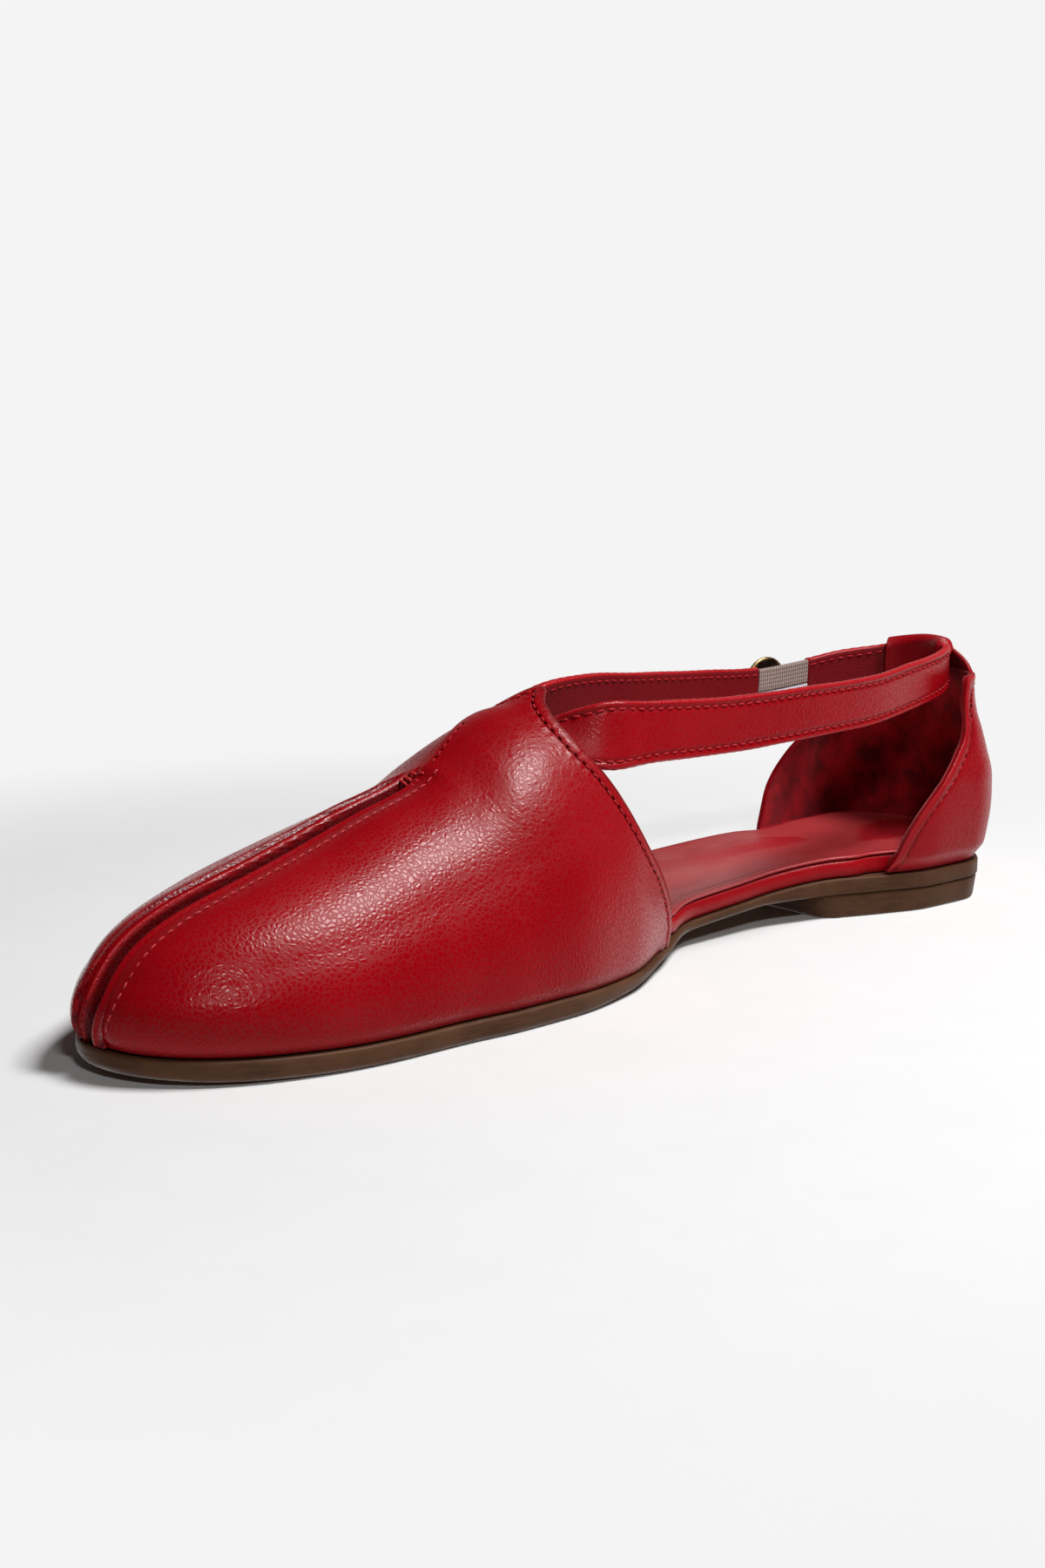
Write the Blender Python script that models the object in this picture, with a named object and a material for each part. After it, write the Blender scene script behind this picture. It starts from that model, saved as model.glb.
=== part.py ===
"""Closed-toe flat with an open waist, a heel counter and an ankle strap: a right shoe.

X runs from the heel to the toe, Y to the inner side of the foot, Z up from the floor.
The shape follows the outline of the sole, the crown line of the last over the vamp,
and the back curve of the heel. All sizes are in metres.
"""
import math

import bmesh
import bpy
import numpy as np

# Overall sizes of the sole
LENGTH = 0.255
BALL_WIDTH = 0.0763
WAIST_WIDTH = 0.0399
HEEL_WIDTH = 0.0475
HEEL_ROUND = 0.017
TOE_ROUND_INNER = 0.055
TOE_ROUND_OUTER = 0.075

# Heights and thicknesses of the bottom stack
HEEL_LIFT = 0.0059
TOE_SPRING = 0.0012
OUTSOLE_HEEL = 0.0038
OUTSOLE_WAIST = 0.0023
OUTSOLE_FORE = 0.0043
OUTSOLE_BEVEL = 0.0014
TOE_BEVEL = 0.0009
INSOLE_THICK = 0.0041
FOOTBED_THICK = 0.0009
HEEL_CORNER = 0.004
HEEL_TAPER = 0.0008

# The upper
WALL = 0.0016
GAP = 0.0003
FEATHER_INSET = 0.0005
OPEN_INSET = 0.0009
CROWN_HEIGHT = 0.062
VAMP_BULGE = 0.0013
CHANNEL_HALF = 0.0011
CHANNEL_DEPTH = 0.0008
LIP_HALF = 0.0024
LIP_HEIGHT = 0.0007
STRIP_HALF = 0.0038
STRIP_SAG = 0.0003
THROAT_FADE = 4
COUNTER_HEIGHT = 0.0553
COUNTER_FRONT = 0.0430
COUNTER_FRONT_OUTER = 0.0435
TAB_WALL = 0.0010
TAB_HALF = 0.0118
TAB_FOOT_HALF = 0.0200
TAB_LEAN = 2.3
TAB_EASE = 0.0005

# The ankle strap, its elastic and its button
STRAP_TOP = 0.0615
STRAP_WIDTH = 0.0118
STRAP_THICK = 0.0020
STRAP_EDGE = 0.2
STRAP_TUCK = 0.008
TUCK_GAP = 0.0009
ELASTIC_THICK = 0.0009
ELASTIC_WIDTH = 0.0108
TONGUE_WIDTH = 0.0092
ELASTIC_FRONT = 0.0468
ELASTIC_REAR = 0.0300
TONGUE_END = 0.0362
BUTTON_RADIUS = 0.0065
BUTTON_THICK = 0.0022
BUTTON_PLACE = 0.0410
BUTTON_RAISE = 0.0010

# Where along the sole, as shares of LENGTH
FLAT_START = 0.647
FLAT_END = 0.776
HEEL_BREAST = 0.233
RIDGE_TURN = 0.745
RIDGE_END = 0.870
CHANNEL_END = 0.677
WING_FOOT = 0.465

# Plan outline: share of LENGTH, the width it follows, inner share, outer share
OUTLINE = (
    (0.000, HEEL_WIDTH, 0.505, 0.505),
    (0.060, HEEL_WIDTH, 0.503, 0.503),
    (0.118, HEEL_WIDTH, 0.493, 0.495),
    (0.176, HEEL_WIDTH, 0.404, 0.461),
    (0.235, WAIST_WIDTH, 0.345, 0.578),
    (0.314, WAIST_WIDTH, 0.262, 0.665),
    (0.392, WAIST_WIDTH, 0.262, 0.735),
    (0.470, BALL_WIDTH, 0.256, 0.450),
    (0.549, BALL_WIDTH, 0.379, 0.512),
    (0.627, BALL_WIDTH, 0.427, 0.557),
    (0.686, BALL_WIDTH, 0.431, 0.569),
    (0.745, BALL_WIDTH, 0.418, 0.558),
    (0.800, BALL_WIDTH, 0.416, 0.531),
    (0.855, BALL_WIDTH, 0.414, 0.502),
    (0.900, BALL_WIDTH, 0.410, 0.475),
    (0.950, BALL_WIDTH, 0.410, 0.440),
    (1.000, BALL_WIDTH, 0.410, 0.425),
)

# Crown line of the last over the vamp: share of LENGTH, share of CROWN_HEIGHT
CROWN = (
    (0.46, 1.130),
    (0.51, 1.075),
    (0.56, 1.006),
    (0.588, 0.956),
    (0.616, 0.924),
    (0.647, 0.868),
    (0.675, 0.793),
    (0.706, 0.735),
    (0.749, 0.684),
    (0.804, 0.614),
    (0.859, 0.551),
    (0.910, 0.499),
    (0.961, 0.458),
    (1.010, 0.430),
)

# Section fullness of the vamp: share of LENGTH, inner side toward the ridge and toward the
# feather line, outer side toward the ridge and toward the feather line
FULLNESS = (
    (0.50, 2.15, 2.15, 1.45, 2.00),
    (0.66, 2.15, 2.15, 1.30, 2.00),
    (0.72, 2.15, 2.15, 1.40, 2.00),
    (0.80, 2.20, 2.20, 1.72, 2.10),
    (0.90, 2.60, 2.60, 2.25, 2.40),
    (1.00, 3.15, 3.15, 3.15, 3.15),
)

# Topline of the vamp: share of the height from feather to crown, share of LENGTH
TOPLINE = (
    (0.00, 0.463),
    (0.05, 0.459),
    (0.10, 0.461),
    (0.20, 0.473),
    (0.30, 0.491),
    (0.40, 0.512),
    (0.50, 0.528),
    (0.60, 0.541),
    (0.70, 0.5545),
    (0.80, 0.5675),
    (0.87, 0.5750),
    (0.94, 0.5780),
    (0.98, 0.5730),
    (1.00, 0.5565),
)

# Back curve of the counter: share of COUNTER_HEIGHT, reach beyond the outline
# of the sole as a share of the wall
BACK_CURVE = (
    (0.18, -0.3),
    (0.22, 0.5),
    (0.30, 1.1),
    (0.45, 1.6),
    (0.55, 1.5),
    (0.67, 0.5),
    (0.76, -0.4),
    (0.84, -1.3),
    (0.92, -1.75),
    (1.02, -1.9),
)

# Front edges of the counter: share of COUNTER_HEIGHT, inner side as a share of COUNTER_FRONT,
# outer side as a share of COUNTER_FRONT_OUTER
COUNTER_EDGE = (
    (1.00, 0.380, 0.360),
    (0.90, 0.412, 0.385),
    (0.79, 0.438, 0.400),
    (0.68, 0.551, 0.500),
    (0.58, 0.695, 0.640),
    (0.44, 0.856, 0.815),
    (0.31, 0.945, 0.910),
    (0.19, 1.000, 1.000),
)

# Path of the strap's outer face at its top edge, from the inner front round the heel
# to the outer front: share of LENGTH, share of half the heel width, share of STRAP_TOP,
# share of STRAP_WIDTH, and how far the bottom edge stands out, as a share of STRAP_WIDTH
STRAP_PATH = (
    (0.540, 0.68, 0.982, 1.17, 0.34),
    (0.490, 0.80, 0.972, 1.10, 0.16),
    (0.400, 0.90, 0.955, 1.04, 0.05),
    (0.300, 0.94, 0.955, 1.00, 0.00),
    (0.210, 0.91, 0.957, 0.97, 0.00),
    (0.140, 0.80, 0.976, 0.95, 0.00),
    (0.085, 0.67, 0.988, 0.91, 0.00),
    (0.050, 0.52, 1.000, 0.87, 0.00),
    (0.030, 0.28, 1.003, 0.84, 0.00),
    (0.024, 0.00, 1.000, 0.82, 0.00),
    (0.030, -0.28, 0.984, 0.83, 0.00),
    (0.050, -0.50, 0.965, 0.87, 0.00),
    (0.085, -0.68, 0.948, 0.92, 0.00),
    (0.125, -0.83, 0.920, 0.97, 0.00),
    (0.190, -0.92, 0.904, 1.00, 0.00),
    (0.260, -0.93, 0.920, 1.00, 0.00),
    (0.340, -0.92, 0.942, 1.04, 0.03),
    (0.420, -0.87, 0.968, 1.08, 0.10),
    (0.480, -0.82, 0.958, 1.12, 0.25),
    (0.530, -0.80, 0.895, 1.10, 0.45),
)

# Strap ends under the vamp: share of the height from feather to crown, top and bottom edge
TUCK_INNER = (0.97, 0.80)
TUCK_OUTER = (0.90, 0.725)


def clear_scene():
    for item in list(bpy.data.objects):
        bpy.data.objects.remove(item, do_unlink=True)


def curve(table, value, column, key=lambda row: row[0]):
    """Smooth monotone interpolation of one column of a table over its key column."""
    xs = [key(row) for row in table]
    ys = [column(row) for row in table]
    if value <= xs[0]:
        return ys[0]
    if value >= xs[-1]:
        return ys[-1]
    steps = [b - a for a, b in zip(xs, xs[1:])]
    slopes = [(b - a) / h for a, b, h in zip(ys, ys[1:], steps)]
    tangents = [slopes[0]]
    for before, after, h0, h1 in zip(slopes, slopes[1:], steps, steps[1:]):
        if before * after <= 0:
            tangents.append(0.0)
        else:
            w0 = 2 * h1 + h0
            w1 = h1 + 2 * h0
            tangents.append((w0 + w1) / (w0 / before + w1 / after))
    tangents.append(slopes[-1])
    k = max(i for i, x in enumerate(xs[:-1]) if x <= value)
    t = (value - xs[k]) / steps[k]
    rise = ys[k] * (1 + 2 * t) * (1 - t) ** 2 + ys[k + 1] * t * t * (3 - 2 * t)
    lean = tangents[k] * t * (1 - t) ** 2 - tangents[k + 1] * t * t * (1 - t)
    return rise + steps[k] * lean


def ease(t):
    t = min(max(t, 0.0), 1.0)
    return t * t * (3 - 2 * t)


def half_width(x, side):
    """Distance from the long axis to the edge of the sole; side is 1 inner, -1 outer."""
    column = 2 if side > 0 else 3
    width = curve(OUTLINE, x / LENGTH, lambda row: row[1] * row[column])
    if x < HEEL_ROUND:
        t = min((HEEL_ROUND - x) / HEEL_ROUND, 1.0)
        width *= math.sqrt(1 - t * t)
    nose = TOE_ROUND_INNER if side > 0 else TOE_ROUND_OUTER
    power = 2.15 if side > 0 else 2.0
    if x > LENGTH - nose:
        t = min((x - LENGTH + nose) / nose, 1.0)
        width *= (1 - t ** power) ** (1 / power)
    return width


def turn_to_x(turn):
    """Even steps of turn crowd the stations toward the round heel and toe."""
    return LENGTH * (1 - math.cos(math.pi * turn)) / 2


def x_to_turn(x):
    return math.acos(1 - 2 * x / LENGTH) / math.pi


def edge_point(turn, side, inset):
    """Point of the sole's plan outline moved in by inset, and its outward direction."""
    step = 0.004
    near = max(turn - step, 0.0)
    far = min(turn + step, 1.0)
    x = turn_to_x(turn)
    y = half_width(x, side)
    dx = turn_to_x(far) - turn_to_x(near)
    dy = half_width(turn_to_x(far), side) - half_width(turn_to_x(near), side)
    if turn <= 0.0 or turn >= 1.0:
        dx = 0.0
    size = math.hypot(dx, dy)
    out = np.array((-dy / size, dx / size))
    point = np.array((x, y)) - inset * out
    return np.array((point[0], side * point[1])), np.array((out[0], side * out[1]))


def sole_under(x):
    """Height of the outsole's underside: heel lift, arch, flat tread and toe spring."""
    flat = FLAT_START * LENGTH
    breast = HEEL_BREAST * LENGTH
    if x < flat:
        return HEEL_LIFT * ease((flat - x) / (flat - breast))
    rise = max(x - FLAT_END * LENGTH, 0.0) / (LENGTH * (1 - FLAT_END))
    return TOE_SPRING * rise * rise


def sole_thick(x):
    share = x / LENGTH
    rear = OUTSOLE_HEEL + (OUTSOLE_WAIST - OUTSOLE_HEEL) * ease((share - 0.21) / 0.13)
    return rear + (OUTSOLE_FORE - OUTSOLE_WAIST) * ease((share - 0.47) / 0.18)


def sole_bevel(x):
    """The tread edge is rounded forward of the heel and square above the heel block."""
    share = ease((x / LENGTH - HEEL_BREAST) / 0.08)
    tip = TOE_BEVEL * ease((x / LENGTH - 0.93) / 0.07)
    return GAP + (min(OUTSOLE_BEVEL + tip, sole_thick(x) * 0.55) - GAP) * share


def sole_top(x):
    return sole_under(x) + sole_thick(x)


def covered(x):
    """1 where the vamp or the counter wraps the insole, 0 along the open waist."""
    front = ease((x - (WING_FOOT - 0.032) * LENGTH) / (0.024 * LENGTH))
    reach = max(COUNTER_FRONT, COUNTER_FRONT_OUTER)
    rear = ease((reach * 1.20 - x) / (reach * 0.14))
    return max(front, rear)


def board_inset(x):
    tucked = FEATHER_INSET + WALL + 2 * GAP
    return OPEN_INSET + (tucked - OPEN_INSET) * covered(x)


def ring(count, inset, height):
    """Closed outline of 2 * count points: heel, inner side, toe, outer side."""
    points = []
    for k in range(2 * count):
        side = 1 if k <= count else -1
        turn = k / count if k <= count else (2 * count - k) / count
        x = turn_to_x(turn)
        (px, py), _ = edge_point(turn, side, inset(x))
        points.append((px, py, height(x)))
    return points


def finish_object(name, mesh_data, color, roughness, metallic=0.0):
    bmesh.ops.remove_doubles(mesh_data, verts=mesh_data.verts, dist=0.000002)
    bmesh.ops.dissolve_degenerate(mesh_data, dist=0.000001, edges=mesh_data.edges)
    bmesh.ops.triangulate(mesh_data, faces=mesh_data.faces)
    bmesh.ops.recalc_face_normals(mesh_data, faces=mesh_data.faces)
    mesh = bpy.data.meshes.new(name)
    mesh_data.to_mesh(mesh)
    mesh_data.free()
    mesh.shade_smooth()
    mesh.set_sharp_from_angle(angle=math.radians(38))
    material = bpy.data.materials.new(name + "_surface")
    material.use_nodes = True
    shader = material.node_tree.nodes["Principled BSDF"]
    shader.inputs["Base Color"].default_value = (*color, 1.0)
    shader.inputs["Roughness"].default_value = roughness
    shader.inputs["Metallic"].default_value = metallic
    mesh.materials.append(material)
    item = bpy.data.objects.new(name, mesh)
    bpy.context.scene.collection.objects.link(item)
    return item


def stack_solid(name, rings, color, roughness):
    """Solid between stacked closed rings whose points pair up across the long axis."""
    data = bmesh.new()
    rows = [[data.verts.new(p) for p in points] for points in rings]
    count = len(rows[0])
    for low, high in zip(rows, rows[1:]):
        for k in range(count):
            n = (k + 1) % count
            data.faces.new((low[k], low[n], high[n], high[k]))
    half = count // 2
    for row in (rows[0], rows[-1]):
        data.faces.new((row[0], row[1], row[count - 1]))
        data.faces.new((row[half], row[half - 1], row[half + 1]))
        for k in range(1, half - 1):
            data.faces.new((row[k], row[k + 1], row[count - k - 1], row[count - k]))
    return finish_object(name, data, color, roughness)


def make_outsole():
    count = 46

    def ledge(x, share):
        return sole_under(x) + sole_bevel(x) * share

    rings = (
        ring(count, sole_bevel, sole_under),
        ring(count, lambda x: 0.35 * sole_bevel(x), lambda x: ledge(x, 0.4)),
        ring(count, lambda x: 0.0, lambda x: ledge(x, 1.0)),
        ring(count, lambda x: 0.0, lambda x: sole_top(x) - GAP),
        ring(count, lambda x: GAP, sole_top),
    )
    return stack_solid("outsole", rings, (0.115, 0.068, 0.038), 0.55)


def make_heel():
    breast = HEEL_BREAST * LENGTH
    count = 18

    def outline(inset, height):
        side_points = {1: [], -1: []}
        for side in (1, -1):
            for k in range(count + 1):
                x = (breast - inset) * (1 - math.cos(math.pi * k / count)) / 2
                (px, py), _ = edge_point(x_to_turn(x), side, inset)
                start = breast - inset - HEEL_CORNER
                if x > start:
                    t = min((x - start) / HEEL_CORNER, 1.0)
                    py -= side * HEEL_CORNER * (1 - math.sqrt(1 - t * t))
                    px = x
                side_points[side].append((px, py, height))
        inner = side_points[1]
        outer = side_points[-1][1:]
        return inner + outer[::-1]

    rings = (
        outline(HEEL_TAPER + GAP, 0.0),
        outline(HEEL_TAPER, GAP),
        outline(GAP, HEEL_LIFT - 2 * GAP),
        outline(2 * GAP, HEEL_LIFT - GAP),
    )
    data = bmesh.new()
    rows = [[data.verts.new(p) for p in points] for points in rings]
    total = len(rows[0])
    for low, high in zip(rows, rows[1:]):
        for k in range(total):
            n = (k + 1) % total
            data.faces.new((low[k], low[n], high[n], high[k]))
    for row in (rows[0], rows[-1]):
        data.faces.new(row)
    return finish_object("heel_block", data, (0.115, 0.068, 0.038), 0.55)


def make_insole():
    count = 46

    def low(x):
        return sole_top(x) + GAP

    def high(x):
        return low(x) + INSOLE_THICK

    rings = (
        ring(count, board_inset, low),
        ring(count, board_inset, lambda x: high(x) - GAP),
        ring(count, lambda x: board_inset(x) + GAP, high),
    )
    return stack_solid("insole", rings, (0.42, 0.012, 0.018), 0.45)


def footbed_under(x):
    return sole_top(x) + 2 * GAP + INSOLE_THICK


def make_footbed():
    count = 46

    def high(x):
        return footbed_under(x) + FOOTBED_THICK

    rings = (
        ring(count, lambda x: board_inset(x) + GAP, footbed_under),
        ring(count, board_inset, lambda x: footbed_under(x) + GAP),
        ring(count, lambda x: board_inset(x) + 2 * GAP, high),
    )
    return stack_solid("footbed", rings, (0.45, 0.012, 0.02), 0.42)


def ridge_x(x):
    """Where the section that starts at x on the feather line reaches the ridge."""
    start = RIDGE_TURN * LENGTH
    if x <= start:
        return x
    reach = LENGTH - start
    t = (x - start) / reach
    return start + reach * t + (RIDGE_END * LENGTH - LENGTH) * t * t


def roundness(x, side):
    """Fullness of a section toward its ridge and toward its feather line."""
    shift = 1 if side > 0 else 3
    ridge = curve(FULLNESS, x / LENGTH, lambda row: row[shift])
    edge = curve(FULLNESS, x / LENGTH, lambda row: row[shift + 1])
    return ridge, edge


def crown(x):
    return CROWN_HEIGHT * curve(CROWN, x / LENGTH, lambda row: row[1])


def vamp_point(turn, side, out):
    """Point of the vamp's outer face; out is 1 on the feather line and 0 on the ridge."""
    (fx, fy), _ = edge_point(turn, side, FEATHER_INSET)
    station = turn_to_x(turn)
    ridge, edge = roundness(station, side)
    up = max(1 - out ** ridge, 0.0) ** (1 / edge)
    rx = min(ridge_x(station), fx)
    dx = fx - rx
    reach = math.hypot(dx, fy)
    swell = VAMP_BULGE * math.sin(math.pi * min(up / 0.6, 1.0))
    scale = out + swell / reach
    x = rx + dx * scale
    floor = sole_top(station) + GAP
    return np.array((x, fy * scale, floor + (crown(x) - floor) * up))


def out_at_strip(turn, side):
    (_, fy), _ = edge_point(turn, side, FEATHER_INSET)
    return min(STRIP_HALF / max(abs(fy), STRIP_HALF), 1.0)


def out_at_up(station, side, up):
    ridge, edge = roundness(station, side)
    return max(1 - up ** edge, 0.0) ** (1 / ridge)


def last_turn(side):
    """The turn near the toe where the feather line comes within the centre strip."""
    low = 0.9
    high = 1.0
    for _ in range(40):
        mid = (low + high) / 2
        (_, fy), _ = edge_point(mid, side, FEATHER_INSET)
        if abs(fy) > STRIP_HALF:
            low = mid
        else:
            high = mid
    return low


def topline_x(up):
    return LENGTH * curve(TOPLINE, up, lambda row: row[1])


def toe_turns(side, count):
    """Turns round the toe whose sections are evenly spaced on the feather and on the strip."""
    fine = 160
    start = x_to_turn(RIDGE_TURN * LENGTH)
    end = last_turn(side)
    turns = [start + (end - start) * (1 - (1 - k / fine) ** 2) for k in range(fine + 1)]
    edges = []
    for turn in turns:
        low = vamp_point(turn, side, 1.0)
        high = vamp_point(turn, side, out_at_strip(turn, side))
        edges.append(np.concatenate((low, high)))
    gaps = np.linalg.norm(np.diff(np.array(edges), axis=0), axis=1)
    run = np.concatenate(([0.0], np.cumsum(gaps)))
    return [float(np.interp(run[-1] * k / count, run, turns)) for k in range(count + 1)]


def strip_angle(turn, side):
    """How far a section climbs before it meets the centre strip, as an angle."""
    ridge, _ = roundness(turn_to_x(turn), side)
    return math.acos(out_at_strip(turn, side) ** (ridge / 2))


def vamp_columns(side, share, turn_toe, columns):
    """One row of the vamp's side wall, from the feather line to the centre strip."""
    points = []
    throat = strip_angle(x_to_turn(topline_x(1.0)), side)
    for i in range(columns + 1):
        climb = i / columns
        if share < 1.0:
            up = math.sin(throat * climb) ** (2 / roundness(0.0, side)[1])
            turn = x_to_turn(topline_x(up) + (RIDGE_TURN * LENGTH - topline_x(up)) * share)
        else:
            turn = turn_toe
        ridge, _ = roundness(turn_to_x(turn), side)
        out = math.cos(strip_angle(turn, side) * climb) ** (2 / ridge)
        points.append(vamp_point(turn, side, out))
    return points


def throat_point(x, share):
    """Step of the centre strip back to the throat's point, fading out toward the toe."""
    back = (topline_x(1.0) - x) * (1 - share) ** THROAT_FADE
    return np.array((back, 0.0, crown(x + back) - crown(x)))


def channel_step(y, x):
    """Open groove with raised lips along the centre seam, fading out at its end."""
    fade = ease((x - CHANNEL_END * LENGTH) / (2 * STRIP_HALF))
    across = abs(y)
    if across <= CHANNEL_HALF:
        return -CHANNEL_DEPTH * fade
    if across <= LIP_HALF:
        return LIP_HEIGHT * fade * (1.4 if y < 0 else 1.0)
    return 0.0


def make_vamp():
    rows_rear = 13
    rows_toe = 15
    columns = 9
    across = (
        0.9 * LIP_HALF + 0.1 * STRIP_HALF,
        1.35 * CHANNEL_HALF,
        0.9 * CHANNEL_HALF,
        0.0,
        -0.9 * CHANNEL_HALF,
        -1.35 * CHANNEL_HALF,
        -0.9 * LIP_HALF - 0.1 * STRIP_HALF,
    )
    stations = [(k / rows_rear, 0.0, 0.0) for k in range(rows_rear)]
    stations += [(1.0, a, b) for a, b in zip(toe_turns(1, rows_toe), toe_turns(-1, rows_toe))]
    grid = []
    spine = []
    for share, turn_inner, turn_outer in stations:
        inner = vamp_columns(1, share, turn_inner, columns)
        outer = vamp_columns(-1, share, turn_outer, columns)
        grid.append((inner, outer))
        spine.append((inner[-1] + outer[-1]) / 2)
    rows = []
    lifts = []
    flat = [np.zeros(3)] * (columns + 1)
    throat = spine[0][0]
    for j, (inner, outer) in enumerate(grid):
        point = throat_point(throat, stations[j][0])
        along = spine[min(j + 1, len(spine) - 1)] - spine[max(j - 1, 0)]
        normal = np.array((-along[2], 0.0, along[0]))
        normal /= np.linalg.norm(normal)
        strip = []
        raised = []
        for y in across:
            t = (STRIP_HALF - y) / (2 * STRIP_HALF)
            base = inner[-1] * (1 - t) + outer[-1] * t
            middle = 1 - (y / STRIP_HALF) ** 2
            strip.append(base + (normal * STRIP_SAG + point) * middle)
            raised.append(normal * channel_step(y, spine[j][0]))
        rows.append(list(outer) + strip[::-1] + list(inner)[::-1])
        lifts.append(flat + raised[::-1] + flat)
    width = len(rows[0])
    feet = [[i in (0, width - 1) for i in range(width)] for _ in rows]
    feet[-1] = [True] * width
    walls = [[WALL] * width for _ in rows]
    return wall_solid("vamp", rows, lifts, feet, walls, (0.45, 0.008, 0.016), 0.35)


def wall_solid(name, rows, lifts, feet, walls, color, roughness):
    """Wall behind a grid of points; lifts raise or sink the outer face.

    feet marks the points on the feather line, where the wall ends level, and walls gives
    the thickness at each point.
    """
    data = bmesh.new()
    wall = data.verts.layers.float.new("wall")
    lift = data.verts.layers.float_vector.new("lift")
    foot = data.verts.layers.int.new("foot")
    net = []
    for row, lift_row, foot_row, wall_row in zip(rows, lifts, feet, walls):
        verts = [data.verts.new(p) for p in row]
        for vert, raised, level, thick in zip(verts, lift_row, foot_row, wall_row):
            vert[lift] = tuple(raised)
            vert[foot] = int(level)
            vert[wall] = thick
        net.append(verts)
    for low, high in zip(net, net[1:]):
        for a, b, c, d in zip(low, low[1:], high[1:], high):
            data.faces.new((a, b, c, d))
    bmesh.ops.remove_doubles(data, verts=data.verts, dist=0.000002)
    bmesh.ops.dissolve_degenerate(data, dist=0.000001, edges=data.edges)
    data.normal_update()
    outer_faces = list(data.faces)
    borders = [edge for edge in data.edges if len(edge.link_faces) == 1]
    inward = {}
    for vert in list(data.verts):
        step = vert.normal * vert[wall]
        if vert[foot]:
            step.z = 0.0
            step = step.normalized() * vert[wall]
        inward[vert] = data.verts.new(vert.co + step)
        vert.co += vert[lift]
    for face in outer_faces:
        data.faces.new([inward[vert] for vert in reversed(face.verts)])
    for edge in borders:
        loop = edge.link_loops[0]
        a = loop.vert
        b = loop.link_loop_next.vert
        data.faces.new((b, a, inward[a], inward[b]))
    return finish_object(name, data, color, roughness)


def heel_line(steps):
    """Feather line round the heel as points, outward directions and running lengths."""
    turns = [(1, x_to_turn(COUNTER_FRONT) * (1 - k / steps)) for k in range(steps)]
    turns += [(-1, x_to_turn(COUNTER_FRONT_OUTER) * k / steps) for k in range(steps + 1)]
    points = []
    outs = []
    for side, turn in turns:
        point, out = edge_point(turn, side, 0.0)
        points.append(point)
        outs.append(out)
    points = np.array(points)
    gaps = np.linalg.norm(np.diff(points, axis=0), axis=1)
    run = np.concatenate(([0.0], np.cumsum(gaps)))
    return points, np.array(outs), run[steps] - run


def strap_rows(table):
    """Top and bottom edges of the strap's outer face, sampled smoothly along its path."""
    knots = []
    for share, wide, high, width, stand in table:
        x = share * LENGTH
        y = wide * HEEL_WIDTH / 2
        z = high * STRAP_TOP
        side = 1 if y >= 0 else -1
        low = (x, y + side * stand * STRAP_WIDTH, z - width * STRAP_WIDTH)
        knots.append(((x, y, z), low))
    return knots


def smooth_path(knots, per_span):
    """Catmull-Rom curve through pairs of points."""
    pairs = np.array(knots, dtype=float)
    first = 2 * pairs[0] - pairs[1]
    final = 2 * pairs[-1] - pairs[-2]
    padded = np.concatenate(([first], pairs, [final]))
    samples = []
    for k in range(1, len(padded) - 2):
        p0, p1, p2, p3 = padded[k - 1:k + 3]
        for s in range(per_span):
            t = s / per_span
            samples.append(0.5 * (2 * p1 + (p2 - p0) * t
                                  + (2 * p0 - 5 * p1 + 4 * p2 - p3) * t * t
                                  + (3 * p1 - p0 - 3 * p2 + p3) * t ** 3))
    samples.append(padded[-2])
    return np.array(samples)


def tuck_pair(station, side, ups):
    """Strap edges just inside the vamp's wall at one station."""
    turn = x_to_turn(station)
    pair = []
    for up in ups:
        out = out_at_up(station, side, up)
        here = vamp_point(turn, side, out)
        higher = vamp_point(turn, side, max(out - 0.02, 0.0))
        further = vamp_point(x_to_turn(station + 0.001), side, out)
        normal = np.cross(higher - here, further - here)
        normal /= np.linalg.norm(normal)
        if normal[2] < 0:
            normal = -normal
        pair.append(tuple(here - normal * (WALL + TUCK_GAP)))
    return tuple(pair)


def strap_path():
    knots = strap_rows(STRAP_PATH)
    mouth = topline_x(TUCK_INNER[0])
    inner = [tuck_pair(mouth + STRAP_TUCK, 1, TUCK_INNER), tuck_pair(mouth, 1, TUCK_INNER)]
    outer = [tuck_pair(mouth, -1, TUCK_OUTER), tuck_pair(mouth + STRAP_TUCK, -1, TUCK_OUTER)]
    return smooth_path(inner + knots + outer, 4)


def ribbon_frame(path):
    """Inward direction of the ribbon at each sample."""
    tops = path[:, 0]
    lows = path[:, 1]
    along = np.gradient((tops + lows) / 2, axis=0)
    up = tops - lows
    inward = np.cross(up, along)
    inward /= np.linalg.norm(inward, axis=1)[:, None]
    return inward


def ribbon_solid(name, path, outer_depth, inner_depth, narrow, color, roughness):
    """Flat strap between two depths behind the path's outer face."""
    inward = ribbon_frame(path)
    data = bmesh.new()
    rows = []
    for k, (top, low) in enumerate(path):
        up = (top - low) / np.linalg.norm(top - low)
        high = top - up * narrow[k]
        base = low + up * narrow[k]
        shy = up * STRAP_EDGE * (inner_depth[k] - outer_depth[k])
        near = inward[k] * outer_depth[k]
        far = inward[k] * inner_depth[k]
        corners = (
            base + near + shy, high + near - shy, high + near * 0.7 + far * 0.3,
            high + near * 0.3 + far * 0.7, high + far - shy, base + far + shy,
            base + near * 0.3 + far * 0.7, base + near * 0.7 + far * 0.3,
        )
        rows.append([data.verts.new(p) for p in corners])
    total = len(rows[0])
    for low, high in zip(rows, rows[1:]):
        for k in range(total):
            n = (k + 1) % total
            data.faces.new((low[k], low[n], high[n], high[k]))
    data.faces.new(rows[0][::-1])
    data.faces.new(rows[-1])
    return finish_object(name, data, color, roughness)


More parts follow.
